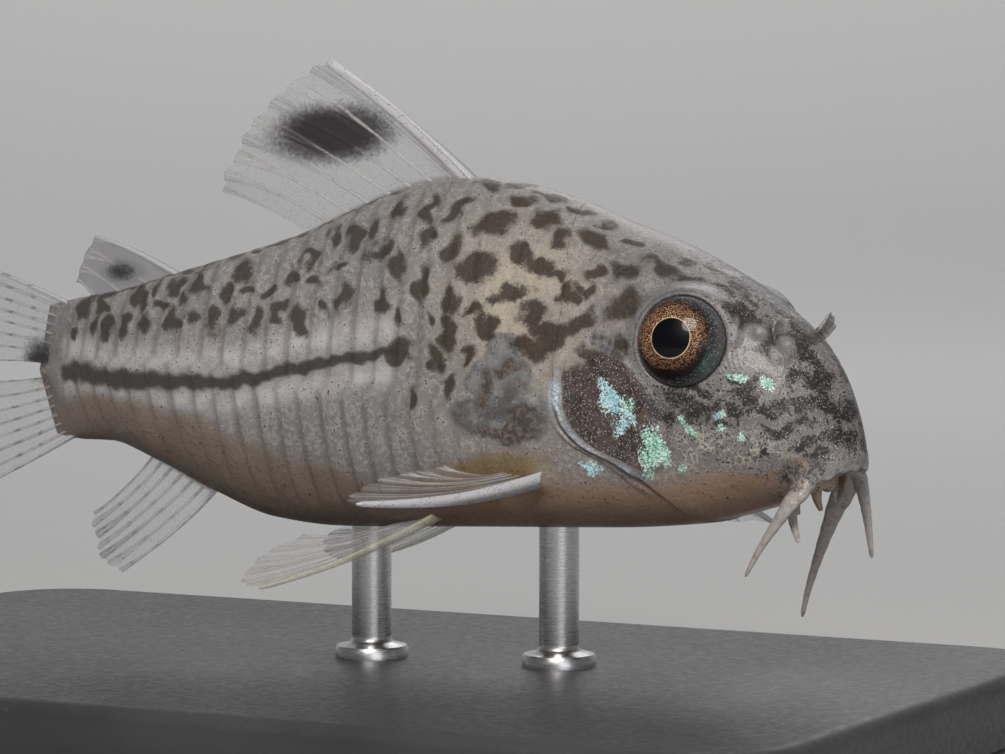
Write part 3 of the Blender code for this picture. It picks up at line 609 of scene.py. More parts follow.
def press_sockets(points):
    """Sinks the skin behind each eyeball and raises a soft fold round it."""
    for sign in SIDES:
        axes = eye_axes(sign)
        local, reach = seen_along(axes, points)
        near = np.where((reach < SOCKET_REACH) & (local[:, 2] > -SOCKET_DEPTH))[0]
        r = reach[near]
        height = local[near, 2]
        fold = LID_FOLD * hump(r, 2.72 * MM, 0.30 * MM)
        wrinkles = WRINKLE * np.sin(r / WRINKLE_GAP * math.tau) * hump(r, 2.95 * MM, 0.4 * MM)
        rearward = step_between(local[near, 0] + local[near, 1], -0.5 * MM, 1.5 * MM)
        crease = wrinkles - LID_CREASE_DEPTH * hump(r, LID_CREASE, 0.09 * MM) * rearward
        floor = LID_HEIGHT - 0.25 * (r - EYE_RADIUS)
        lifted = np.where(r < LID_OUTER, np.maximum(height, floor), height)
        blend = 1 - step_between(r, 2.7 * MM, LID_OUTER)
        height = height + (lifted - height) * blend + fold + crease
        sink = 1 - step_between(r, 2.24 * MM, 2.46 * MM)
        local[near, 2] = height * (1 - sink) - sink * SOCKET_FLOOR
        points[near] = out_of(axes, local[near])
    return points


def press_nostrils(points):
    """Rims and pits of the four nostrils."""
    for sign in SIDES:
        for station, degrees in NOSTRILS.values():
            axes = skin_axes(station, sign * degrees)
            local, reach = seen_along(axes, points)
            near = np.where((reach < 1.6 * MM) & (np.abs(local[:, 2]) < 1.5 * MM))[0]
            r = reach[near]
            local[near, 2] += NOSTRIL_RIM * hump(r, 0.50 * MM, 0.20 * MM)
            local[near, 2] -= NOSTRIL_PIT * hump(r, 0.0, 0.26 * MM)
            points[near] = out_of(axes, local[near])
    return points


def lip_path(front, back, corner_side, front_level, corner_level, reach, count):
    """World points of an arc under the snout, from the right corner to the left one."""
    turn = np.radians(np.linspace(-reach, reach, count))
    bend = 1 - np.cos(turn)
    station = front + (back - front) * bend
    level = front_level + (corner_level - front_level) * bend
    return place(station, corner_side * np.sin(turn) * MM, level * MM)


def flesh_parts():
    """Lips, chin lobes, barbels and nostril flaps, as closed pieces to join to the skin."""
    down = np.linspace(0, 1, LIP_ROWS)
    skirt = []
    for part in down:
        swell = 4 * part * (1 - part)
        skirt.append(lip_path(0.0255 - 0.0045 * part - 0.0022 * swell, 0.076 - 0.010 * part,
                              2.15 + 0.27 * part + 0.15 * swell, -5.1 - 1.50 * part,
                              -6.0 - 1.8 * part, 92, LIP_COLUMNS))
    skirt = np.array(skirt)
    ripples = [np.sin(np.linspace(0, turns, LIP_COLUMNS)) for turns in (9 * math.tau, 31)]
    sway = 0.05 * ripples[0] + 0.05 * ripples[1]
    skirt[:, :, 2] += down[:, None] ** 2 * sway * MM
    thick = np.interp(down, (0, 0.7, 0.9, 1), (0.32, 0.20, 0.17, 0.10)) * MM
    upper, _ = sheet("upper_lip", skirt, thick[:, None] + np.zeros((LIP_ROWS, LIP_COLUMNS)))
    lower = lip_path(0.066, 0.094, 1.9, -7.35, -7.7, 70, LOWER_LIP_POINTS)
    ends = np.sin(np.linspace(0, math.pi, LOWER_LIP_POINTS)) ** 0.3
    wave = 1 + 0.2 * np.cos(np.linspace(0, 3 * math.tau, LOWER_LIP_POINTS))
    parts = [upper, tube("lower_lip", lower, 0.45 * MM * wave * ends)]
    paths = []
    for sign in SIDES:
        lobe = body_path([(0.086, sign * 0.9, -7.3), (0.086, sign * 1.0, -8.2),
                          (0.083, sign * 1.1, -8.9)], LOBE_POINTS)
        parts.append(tube("chin_lobe", lobe, np.linspace(0.42, 0.12, LOBE_POINTS) * MM))
    for name, knots in BARBELS.items():
        line = body_path(knots, BARBEL_POINTS)
        part = np.linspace(0, 1, BARBEL_POINTS)
        wide = 0.55 if "maxillary" in name else 0.25
        radii = (0.11 + 0.30 * (1 - part) ** 0.8 + wide * (1 - part) ** 3) * MM
        radii *= 1 + 0.03 * np.sin(part * 60)
        radii[-3:] *= (0.9, 0.7, 0.35)
        ahead = np.array(place(0.0, 0, 0) - place(0.1, 0, 0)).tolist()
        parts.append(tube(name, line, radii, flat=0.62, across_hint=ahead))
        paths.append((line, radii))
    for sign in SIDES:
        station, degrees = NOSTRILS["front"]
        parts.append(nostril_flap(skin_axes(station + 0.010, sign * (degrees + 2)), 1.25, 0.60))
    return parts, paths


def nostril_flap(axes, height, half_width):
    """A thin upright leaf of skin behind a nostril, curved round it."""
    rows, columns = 22, 30
    up = np.linspace(-0.25, 1, rows)[:, None]
    turn = np.linspace(-1, 1, columns)[None, :]
    width = half_width * (0.85 + 0.25 * np.clip(up, 0, 1))
    crown = 1 - 0.18 * turn ** 2 - 0.10 * np.cos(4.2 * turn) ** 2
    y = width * turn + 0 * up
    z = height * up * crown
    x = -0.35 * turn ** 2 + 0.25 * np.clip(up, 0, 1) ** 1.5 + 0 * y
    grid = np.stack([x, y, z], axis=-1) * MM
    half = (0.10 - 0.05 * np.clip(up, 0, 1)) * MM * (1 - 0.5 * turn ** 4) + 0 * y * MM
    return sheet("nostril_flap", out_of(axes, grid.reshape(-1, 3)).reshape(grid.shape), half)[0]


def unit(vectors):
    """Vectors of length 1 in the same directions."""
    return vectors / (np.linalg.norm(vectors, axis=-1, keepdims=True) + 1e-20)


def sheet(name, grid, half):
    """A closed thin piece round a grid of points, with the grid index of each point."""
    rows, columns = grid.shape[:2]
    normal = unit(np.cross(np.gradient(grid, axis=0), np.gradient(grid, axis=1)))
    for _ in range(4):
        for axis in (0, 1):
            padded = np.concatenate([normal.take([0], axis), normal, normal.take([-1], axis)], axis)
            count = normal.shape[axis]
            before = padded.take(range(count), axis)
            after = padded.take(range(2, count + 2), axis)
            normal = unit(before + after + 2 * normal)
    offset = normal * half[..., None]
    points = np.concatenate([(grid + offset).reshape(-1, 3), (grid - offset).reshape(-1, 3)])
    back = rows * columns
    front_faces = grid_faces(rows, columns, False)
    rim = list(range(columns))
    rim += [i * columns + columns - 1 for i in range(1, rows)]
    rim += [(rows - 1) * columns + j for j in range(columns - 2, -1, -1)]
    rim += [i * columns for i in range(rows - 2, 0, -1)]
    rim = np.array(rim)
    after = np.roll(rim, -1)
    faces = np.concatenate([front_faces, front_faces[:, ::-1] + back,
                            np.stack([after, rim, rim + back], -1),
                            np.stack([after, rim + back, after + back], -1)])
    return closed_object(name, points, faces), np.tile(np.arange(back), 2)


def apply_boolean(target, operation, tools):
    """Joins or cuts a closed object with others, which are then removed."""
    for tool in tools:
        change = target.modifiers.new(operation.lower(), "BOOLEAN")
        change.operation = operation
        change.solver = "MANIFOLD"
        change.object = tool
    graph = bpy.context.evaluated_depsgraph_get()
    made = bpy.data.meshes.new_from_object(target.evaluated_get(graph))
    target.modifiers.clear()
    target.data = made
    for tool in tools:
        bpy.data.objects.remove(tool)


def mesh_points(mesh):
    """A mesh's points as an array."""
    points = np.empty(len(mesh.vertices) * 3)
    mesh.vertices.foreach_get("co", points)
    return points.reshape(-1, 3)


def smooth_where(mesh, weight, rounds):
    """Evens out the points of a mesh by a weight each."""
    edges = np.empty(len(mesh.edges) * 2, int)
    mesh.edges.foreach_get("vertices", edges)
    a, b = edges.reshape(-1, 2).T
    points = mesh_points(mesh)
    count = len(points)
    degree = np.bincount(a, minlength=count) + np.bincount(b, minlength=count)
    degree = np.maximum(degree, 1)
    for _ in range(rounds):
        total = np.stack([
            np.bincount(a, points[b, axis], count) + np.bincount(b, points[a, axis], count)
            for axis in range(3)], axis=-1)
        points += weight[:, None] * 0.6 * (total / degree[:, None] - points)
    mesh.vertices.foreach_set("co", points.reshape(-1))
    mesh.update()


def tube_distance(points, paths, near):
    """How far points lie outside the nearest of several tubes; only near ones are measured."""
    distance = np.full(len(points), FAR_AWAY)
    for line, radii in paths:
        for spot, radius in zip(line[::3], radii[::3]):
            away = np.linalg.norm(points[near] - spot, axis=1) - radius
            distance[near] = np.minimum(distance[near], away)
    return distance


def make_skin():
    """The one skin of head, trunk, tail stem, gill covers, lips and barbels."""
    rings = skin_rings()
    points = press_nostrils(press_sockets(rings.reshape(-1, 3)))
    skin = loft("skin", points.reshape(rings.shape), skin_point(SNOUT_TIP, 0.0),
                place(TAIL_ROOT, 0, 0))
    parts, paths = flesh_parts()
    apply_boolean(parts[0], "UNION", parts[1:])
    apply_boolean(skin, "UNION", parts[:1])
    slit_rows = [lip_path(0.051, 0.087, 2.35, level, level - 0.8, 80, SLIT_COLUMNS)
                 for level in np.linspace(-5.9, -8.5, SLIT_ROWS)]
    slit, _ = sheet("mouth_slit", np.array(slit_rows),
                    np.full((SLIT_ROWS, SLIT_COLUMNS), 0.10 * MM))
    apply_boolean(skin, "DIFFERENCE", [slit])
    mesh = skin.data
    points = mesh_points(mesh)
    station, _, _, level, height = body_places(points)
    mouth_zone = (station < 0.2) & (level < -4.5 * MM)
    weight = np.where(mouth_zone, np.exp(-(height / (0.4 * MM)) ** 2), 0.0)
    tubes = tube_distance(points, paths, station < 0.25)
    weight *= np.exp(-(np.maximum(tubes, 0) / (0.45 * MM)) ** 2)
    smooth_where(mesh, weight, 26)
    mesh.shade_smooth()
    return skin, paths


# Blotches of the near side: station, degrees, length and width in mm, turn in degrees
SPOTS = [
    (0.436, 146, 2.4, 1.3, 163), (0.406, 159, 1.6, 0.7, 170), (0.373, 153, 1.5, 1.3, 150),
    (0.345, 147, 1.4, 1.3, 93), (0.301, 152, 2.2, 1.1, 31), (0.387, 136, 1.7, 0.9, 20),
    (0.362, 134, 1.2, 0.7, 10), (0.446, 131, 2.3, 1.4, 174), (0.338, 132, 1.6, 0.8, 31),
    (0.395, 124, 2.3, 0.9, 166), (0.362, 119, 1.5, 1.2, 140), (0.362, 109, 2.4, 1.3, 7),
    (0.330, 112, 2.0, 1.0, 157), (0.294, 118, 1.9, 1.0, 144), (0.349, 114, 1.3, 0.7, 26),
    (0.291, 138, 1.1, 0.8, 82), (0.290, 130, 1.0, 0.7, 132), (0.313, 127, 1.0, 0.8, 153),
    (0.445, 119, 1.6, 0.6, 165), (0.427, 114, 2.0, 0.7, 54), (0.476, 121, 1.6, 0.7, 90),
    (0.475, 112, 2.1, 0.8, 82), (0.490, 106, 1.1, 0.7, 80), (0.476, 98, 1.5, 0.7, 101),
    (0.480, 136, 1.8, 0.8, 99), (0.510, 126, 2.1, 0.6, 98), (0.543, 132, 1.7, 0.8, 90),
    (0.536, 118, 0.9, 0.6, 90), (0.535, 108, 1.8, 1.1, 162), (0.513, 152, 1.7, 0.8, 105),
    (0.476, 152, 1.9, 1.0, 126), (0.550, 156, 1.7, 0.7, 104), (0.509, 142, 1.5, 0.8, 98),
    (0.522, 94, 1.1, 0.6, 100), (0.569, 139, 1.8, 0.8, 157), (0.452, 168, 1.6, 0.8, 20),
    (0.418, 172, 1.4, 0.7, 160), (0.378, 168, 1.5, 0.7, 10), (0.340, 166, 1.3, 0.7, 160),
    (0.455, 106, 1.2, 0.6, 120), (0.500, 116, 1.0, 0.5, 95), (0.559, 122, 1.3, 0.6, 92),
    (0.244, 128, 1.9, 1.7, 142), (0.255, 144, 1.7, 1.2, 156), (0.263, 160, 0.9, 0.6, 168),
    (0.300, 166, 1.1, 0.7, 11), (0.218, 152, 2.2, 0.9, 11), (0.180, 152, 1.9, 0.8, 165),
    (0.152, 157, 1.5, 0.8, 0), (0.174, 170, 1.3, 0.6, 6), (0.150, 172, 1.3, 0.7, 18),
    (0.202, 164, 1.1, 0.7, 3), (0.131, 178, 1.4, 0.6, 20), (0.102, 178, 1.2, 0.6, 10),
    (0.128, 164, 1.2, 0.6, 14), (0.121, 146, 1.1, 0.7, 31), (0.093, 151, 0.9, 0.5, 21),
    (0.095, 132, 1.0, 0.7, 13), (0.108, 148, 0.8, 0.3, 152), (0.071, 172, 1.1, 0.6, 57),
    (0.242, 110, 1.5, 0.7, 63), (0.275, 106, 1.8, 1.0, 48)]


# Dark clouds of the head, in the same terms
MOTTLES = [
    (0.097, 112, 1.6, 0.7, 166), (0.107, 102, 1.1, 0.6, 141), (0.087, 100, 1.8, 0.5, 167),
    (0.112, 93, 0.7, 0.5, 162), (0.063, 108, 1.4, 0.7, 161), (0.070, 92, 1.7, 0.6, 154),
    (0.094, 74, 1.1, 0.4, 179), (0.046, 140, 1.4, 0.8, 156), (0.035, 132, 1.4, 1.1, 21),
    (0.027, 121, 1.3, 0.9, 34), (0.042, 96, 1.3, 0.7, 121), (0.047, 58, 1.7, 0.8, 132),
    (0.063, 156, 1.2, 0.9, 137), (0.050, 162, 1.0, 0.8, 9), (0.063, 128, 1.1, 0.5, 163),
    (0.122, 146, 1.6, 1.1, 35), (0.093, 144, 1.7, 1.4, 32), (0.072, 172, 1.5, 1.0, 81),
    (0.220, 96, 1.7, 0.6, 39), (0.197, 89, 1.5, 0.5, 48), (0.156, 90, 1.8, 1.1, 6),
    (0.209, 93, 2.4, 0.9, 44), (0.175, 95, 1.9, 0.7, 19), (0.150, 98, 1.2, 0.4, 174),
    (0.027, 172, 1.3, 1.0, 59), (0.020, 130, 1.2, 0.9, 38), (0.065, 53, 1.6, 0.7, 141),
    (0.127, 88, 1.1, 0.5, 170), (0.052, 104, 1.1, 0.5, 151), (0.135, 94, 1.0, 0.5, 168),
    (0.042, 158, 1.0, 0.8, 143), (0.046, 120, 1.1, 0.5, 118), (0.057, 80, 0.8, 0.4, 142),
    (0.121, 106, 0.9, 0.4, 170), (0.248, 112, 1.4, 1.0, 49), (0.273, 108, 1.6, 1.1, 43),
    (0.229, 166, 1.9, 1.1, 20), (0.196, 178, 2.2, 1.3, 36), (0.143, 172, 1.9, 1.3, 11),
    (0.112, 176, 1.6, 1.2, 2), (0.084, 176, 1.3, 1.0, 2)]

# Cyan and green glints, in the same terms
GLINTS = [
    (0.249, 95, 1.4, 0.8, 54), (0.241, 92, 1.5, 1.1, 52), (0.230, 89, 1.1, 0.7, 57),
    (0.207, 82, 1.4, 0.8, 80), (0.205, 76, 1.2, 1.1, 111), (0.216, 68, 0.8, 0.6, 175),
    (0.237, 87, 0.7, 0.5, 55), (0.115, 110, 1.2, 0.4, 150), (0.108, 114, 0.6, 0.3, 156),
    (0.084, 111, 0.7, 0.5, 163), (0.130, 90, 0.6, 0.4, 159), (0.127, 86, 0.6, 0.4, 153),
    (0.173, 89, 0.5, 0.5, 170), (0.164, 87, 0.7, 0.3, 44), (0.159, 84, 0.6, 0.3, 29),
    (0.284, 73, 0.7, 0.4, 65), (0.283, 67, 0.6, 0.4, 30), (0.273, 72, 0.5, 0.3, 103),
    (0.178, 68, 0.6, 0.5, 155), (0.110, 87, 0.4, 0.3, 168)]


# Larger soft ovals in the same terms, each list with the softness of its edge. The torn ones
# are the slate skin under the eye, and the grey patch behind the gill cover with its dark
# brown parts. The smooth ones are the olive skin over the breast fin's root, and a painted
# highlight on the gill cover's rim.
TORN_PATCHES = {
    "under_eye": (0.45, [(0.222, 97, 3.4, 0.9, 40), (0.192, 90, 2.6, 0.9, 30),
                         (0.160, 91, 2.2, 1.2, 5), (0.262, 112, 1.8, 0.8, 60)]),
    "collar": (0.35, [(0.404, 107, 2.4, 2.2, 0), (0.407, 99, 4.0, 3.4, 0),
                      (0.428, 89.5, 4.4, 2.6, 0), (0.396, 89, 4.4, 2.8, 0)]),
    "collar_low": (0.6, [(0.378, 89.5, 2.2, 1.8, 0), (0.408, 84.5, 4.6, 1.2, 0),
                         (0.430, 96, 1.0, 2.4, 0), (0.398, 103, 1.6, 0.8, 0)]),
}
SMOOTH_PATCHES = {
    "olive": (0.5, [(0.423, 70, 6.0, 1.8, -8)]),
    "rim_highlight": (0.6, [(0.3255, 95, 0.8, 1.7, 0)]),
}


def oval_places(points, station, degrees, length, width, turn):
    """Distance from an oval's middle, 1 at its edge, and height off the skin there."""
    centre, along, around, outward = surface_frame(station, degrees)
    away = points - centre
    a = away @ along
    b = away @ around
    bend = math.radians(turn)
    x = (a * math.cos(bend) + b * math.sin(bend)) / (length / 2 * MM)
    y = (b * math.cos(bend) - a * math.sin(bend)) / (width / 2 * MM)
    return np.sqrt(x * x + y * y), np.abs(away @ outward)


def spot_field(points, station, spots):
    """A soft field that is 1 in the middle of each oval, 0.5 at its edge and 0 well outside."""
    order = np.argsort(station)
    ranked = station[order]
    total = np.zeros(len(points))
    for spot in spots:
        _, _, length, width, _ = spot
        reach = 0.8 * max(length, width) * MM / BODY_LENGTH + 0.006
        low, high = np.searchsorted(ranked, (spot[0] - reach, spot[0] + reach))
        near = order[low:high]
        out, height = oval_places(points[near], *spot)
        value = np.clip(1.5 - out, 0, 1)
        value *= height < 1.5 * MM
        total[near] += value ** 4
    return np.minimum(total ** 0.25, 1.0)


def flank_bars(sign):
    """Short upright bars on the plates of the tail half, in two rows above the stripe."""
    spots = []
    for number in range(7, PLATE_COUNT):
        for degrees, length, width in ((123, 1.8, 0.80), (150, 2.0, 0.85)):
            degrees += rng.uniform(-4, 4)
            station = float(plate_edge(number + 0.55, degrees)) + rng.uniform(-0.003, 0.003)
            fade = 1 - 0.35 * (number / PLATE_COUNT)
            length *= fade * rng.uniform(0.75, 1.2)
            if rng.uniform() < 0.12:
                continue
            spots.append((station, sign * degrees, length, width * rng.uniform(0.8, 1.3),
                          90 + rng.uniform(-14, 14)))
        if rng.uniform() < 0.6:
            degrees = 137 + rng.uniform(-4, 4)
            station = float(plate_edge(number + 0.1, degrees))
            spots.append((station, sign * degrees, 1.2, 0.6, rng.uniform(0, 180)))
        spots.append((float(plate_edge(number + 0.5, 171.0)), sign * 171.0,
                      rng.uniform(0.9, 1.6), 0.8, rng.uniform(150, 200)))
    return spots


def near_side_spots():
    """The near side's blotches, a little fuller than their dark middles."""
    return [(station, degrees, length * 1.08, width * 1.12, turn)
            for station, degrees, length, width, turn in SPOTS]


def far_side_spots():
    """The far side's blotches: like the near side's, but each moved, turned and sized anew."""
    spots = []
    for station, degrees, length, width, turn in SPOTS:
        spots.append((station + rng.uniform(-0.010, 0.010), -degrees + rng.uniform(-4, 4),
                      length * rng.uniform(0.85, 1.35), width * rng.uniform(1.0, 1.4),
                      turn + rng.uniform(-25, 25)))
    return spots


def both_sides(spots, wider):
    """Marks on the right side and again on the left, made wider."""
    return [(station, sign * degrees, length * wider, width * wider, turn)
            for sign in SIDES for station, degrees, length, width, turn in spots]


def patch_fields(points, patches, left_turn):
    """Soft ovals on both sides; the left side's turn is the right side's times left_turn."""
    fields = {}
    for name, (soft, ovals) in patches.items():
        total = np.zeros(len(points))
        for sign, turn_factor in zip(SIDES, (1, left_turn)):
            for station, degrees, length, width, turn in ovals:
                out, height = oval_places(points, station, sign * degrees, length, width,
                                          turn_factor * turn)
                inside = 1 - step_between(out, 1 - soft, 1 + soft)
                total = np.maximum(total, inside * (height < 2.5 * MM))
        fields[name] = total
    return fields


def write_field(mesh, name, values):
    """Stores one number a point, for the materials to read."""
    layer = mesh.attributes.new(name, "FLOAT", "POINT")
    layer.data.foreach_set("value", np.ascontiguousarray(values, dtype=np.float32))


class SkinPlaces:
    """Where the skin's points lie on the body, with smooth noise of three sizes."""

    def __init__(self, points):
        self.points = points
        self.station, self.up, self.side, self.level, self.height = body_places(points)
        self.lumps = waves(points, 1.0 * MM, 3)
        self.broad = waves(points, 3.0 * MM, 5)
        self.fine = waves(points, 0.45 * MM, 8)


def mouth_fields(at, paths):
    """How far each point is barbel, the lip's pale edge, or mouth above the hanging barbels."""
    tubes = tube_distance(at.points, paths, at.station < 0.3)
    barbel = 1 - step_between(tubes, 0.05 * MM, 0.5 * MM)
    barbel = barbel * step_between(at.height, 0.05 * MM, 0.5 * MM)
    lips = (at.level < -5.6 * MM) & (at.station < 0.12)
    mouth = np.where(lips, step_between(-at.level, 5.7 * MM, 6.4 * MM), 0.0)
    mouth = mouth * (1 - step_between(at.station, 0.09, 0.11))
    hanging = step_between(-at.level, 7.3 * MM, 9.0 * MM)
    barbel = np.clip(barbel * (0.25 + 0.75 * hanging) + 0.20 * mouth, 0, 1)
    turn = np.arcsin(np.clip(at.side / (2.42 * MM), -1, 1))
    brink = -6.65 * MM - 1.15 * MM * (1 - np.cos(turn))
    edge = hump(at.level, brink, 0.16 * MM) * (at.station < 0.075) * (at.height > 0.02 * MM)
    return barbel, edge * (1 - barbel), mouth * (1 - hanging)


def marking_fields(at):
    """Blotches, clouds, glints and soft patches, all but the smooth ones with torn edges."""
    warp = [0.16 * waves(at.points, 0.9 * MM, 20 + axis)
            + 0.06 * waves(at.points, 0.4 * MM, 30 + axis) for axis in range(3)]
    warped = at.points + np.stack(warp, axis=-1) * MM
    torn = at.points + 0.8 * (warped - at.points)
    blotch = spot_field(warped, at.station, near_side_spots() + flank_bars(1)
                        + far_side_spots() + flank_bars(-1))
    glint = spot_field(torn, at.station, both_sides(GLINTS, 1.25))
    behind = 0.228 - at.station + 0.02 * at.lumps * (at.station > 0.14)
    bluish = hump(at.station, 0.131, 0.004) * (at.up > 88)
    return {"blotch": blotch * step_between(at.up, 66, 78),
            "mottle": spot_field(warped, at.station, both_sides(MOTTLES, 1.1)),
            "glint": glint * np.clip(0.9 + 0.15 * at.fine, 0, 1),
            "green": step_between(behind, -0.006, 0.012) * (1 - bluish),
            **patch_fields(torn, TORN_PATCHES, -1),
            **patch_fields(at.points, SMOOTH_PATCHES, 1)}


def flank_fields(at):
    """Grooves between the plates, the dark stripe and the pale bands beside it."""
    below_line = 1 - step_between(at.up, FLANK_LINE - 4, FLANK_LINE + 4)
    row = (at.station - PLATE_START) / PLATE_PITCH - 0.5 * below_line
    row = row + 0.7 * np.abs(at.up - FLANK_LINE) / 90
    bend = np.radians(np.where(at.side >= 0, at.up, 360 - at.up))
    row = row - plate_wander(np.floor(row), bend) / PLATE_PITCH
    groove = (1 - step_between(np.abs(row - np.round(row)), 0.05, 0.22)) * plate_mask(at.up)
    middle = STRIPE_LEVEL(at.station)
    half = (0.30 + 0.26 * step_between(at.station, 0.6, 0.97)) * MM
    away = np.abs(at.level - middle * MM + 0.07 * MM * at.lumps + 0.05 * MM * at.fine) / half
    pale_band = hump(at.level / MM, middle + 1.25, 0.8) + hump(at.level / MM, middle - 1.1, 0.7)
    flank = between(at.station, 0.52, 0.56, 0.985, 1.0) * between(at.up, 60, 75, 115, 125)
    return {"groove": groove * between(at.station, 0.40, 0.52, 0.97, 1.0),
            "stripe": np.clip(1.5 - away, 0, 1) * flank,
            "pale_band": np.clip(pale_band, 0, 1) * flank}


def gill_fields(at, rim_highlight):
    """The gill cover, its pale rim with a painted highlight on it, and painted shade in the gap
    behind it.
    """
    edge = HEAD_EDGE(at.up)
    front = GILL_COVER_FRONT(at.up)
    cover = between(at.station, front + 0.004, front + 0.020, edge - 0.020, edge - 0.008)
    cover *= step_between(at.up + 1.5 * at.lumps, 66, 73)
    cover *= 1 - step_between(at.up + 3 * at.lumps, 103, 111)
    rim = hump(at.station, edge - 0.0050, 0.0040) * between(at.up, 60, 66, 98, 104)
    rim *= (at.station < edge + 0.001) * (0.42 + 0.58 * hump(at.up, 93, 7))
    rim = np.clip(rim * (1 + 0.25 * at.lumps), 0, 1)
    # Painted shade in the recess behind the gill cover
    gap = hump(at.station, edge + 0.0035, 0.004) * between(at.up, 45, 60, 88, 98)
    # The rim takes in the painted highlight
    return {"cover": cover, "rim": np.maximum(rim, 0.9 * rim_highlight), "gill_gap_shade": gap}


def ground_fields(at, mouth):
    """The bare skin's tones from belly to tail, with the head's pepper and pale flecks."""
    # The belly's upper edge: below it the skin takes its tan with painted shade on the underside
    boundary = 60 + 9 * step_between(at.station, 0.45, 0.75) + 2.5 * at.broad
    boundary += 6 * hump(at.station, 0.15, 0.05) + 11 * hump(at.station, 0.055, 0.022)
    boundary += 10 * between(at.station, 0.30, 0.40, 0.5, 0.6)
    belly = 1 - step_between(at.up, boundary - 9, boundary + 7)
    off_snout = step_between(at.station, 0.035, 0.055)
    snout = 1 - step_between(at.station, 0.10, 0.20)
    cheek = hump(at.station, 0.16, 0.10) * hump(at.up, 90, 22)
    crown = step_between(at.up, 118, 140) * (1 - step_between(at.station, 0.16, 0.26))
    stipple = np.clip(0.85 * snout + 0.80 * cheek + 0.65 * crown + 0.12 * at.broad, 0, 1)
    low_edge = 60 + 16 * hump(at.station, 0.065, 0.02) - 46 * (1 - off_snout)
    stipple *= step_between(at.up + 3 * at.lumps, low_edge - 6, low_edge + 8)
    stipple *= 1 - step_between(at.station, 0.24, 0.34)
    cream = hump(at.station, 0.36, 0.10) * hump(at.up, 124, 24)
    return {"belly": belly * off_snout,
            "stipple": np.maximum(stipple, 0.80 * mouth),
            "fleck": hump(at.station, 0.130, 0.060) * hump(at.up, 77, 10),
            "cream": np.clip(cream * (1 + 0.15 * at.broad), 0, 1),
            "tailward": step_between(at.station, 0.42, 0.62),
            "head": 1 - step_between(at.station + 0.02 * at.lumps, 0.22, 0.33)}


def eye_fields(at):
    """The pale ring of skin round each eye, and painted shade in the lid's crease and round the
    eyeball's edge.
    """
    ring = np.zeros(len(at.points))
    lid_shade = np.zeros(len(at.points))
    for sign in SIDES:
        local, reach = seen_along(eye_axes(sign), at.points)
        front_of = local[:, 2] > -SOCKET_DEPTH
        ring = np.maximum(ring, front_of * hump(reach, 2.95 * MM, 0.42 * MM))
        above = step_between(local[:, 1] + 0.8 * local[:, 0], -0.5 * MM, 1.5 * MM)
        # Painted shade in the lid's crease above and round the eyeball's edge
        line = np.maximum(hump(reach, LID_CREASE, 0.055 * MM) * above,
                          0.45 * hump(reach, EYE_RADIUS, 0.07 * MM))
        lid_shade = np.maximum(lid_shade, front_of * line)
    return {"eye_ring": ring, "lid_crease_shade": lid_shade}


def nostril_fields(at, barbel):
    """The nostrils' pale skin and dark edge, with their flaps added to the barbels' field."""
    nostril = np.zeros(len(at.points))
    dark = np.zeros(len(at.points))
    for sign in SIDES:
        for station, degrees in NOSTRILS.values():
            local, reach = seen_along(skin_axes(station, sign * degrees), at.points)
            reach = np.where(np.abs(local[:, 2]) < 1.8 * MM, reach, FAR_AWAY)
            wide = reach + 0.12 * MM * at.lumps
            nostril = np.maximum(nostril, 1 - step_between(wide, 0.45 * MM, 0.85 * MM))
            dark = np.maximum(dark, hump(wide, 0.95 * MM, 0.16 * MM))
            flap = 1 - step_between(reach, 1.2 * MM, 1.6 * MM)
            flap = flap * step_between(at.height, 0.1 * MM, 0.25 * MM)
            barbel = np.maximum(barbel, flap)
    return {"nostril": nostril, "nostril_dark": dark, "barbel": barbel}


def paint_skin(skin, paths):
    """Writes the fields that the skin's material turns into markings."""
    at = SkinPlaces(mesh_points(skin.data))
    barbel, lip_edge, mouth = mouth_fields(at, paths)
    fields = {"lip_edge": lip_edge, **marking_fields(at), **flank_fields(at),
              **ground_fields(at, mouth), **eye_fields(at), **nostril_fields(at, barbel)}
    fields.update(gill_fields(at, fields.pop("rim_highlight")))
    for name, values in fields.items():
        write_field(skin.data, name, values)


def stands_for(piece, look, slot, *nodes):
    """Gives a piece its material and the solids that it takes the place of; its slot is not used.
    """
    look.put_on(piece)
    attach(piece, "root")
    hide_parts(*nodes)


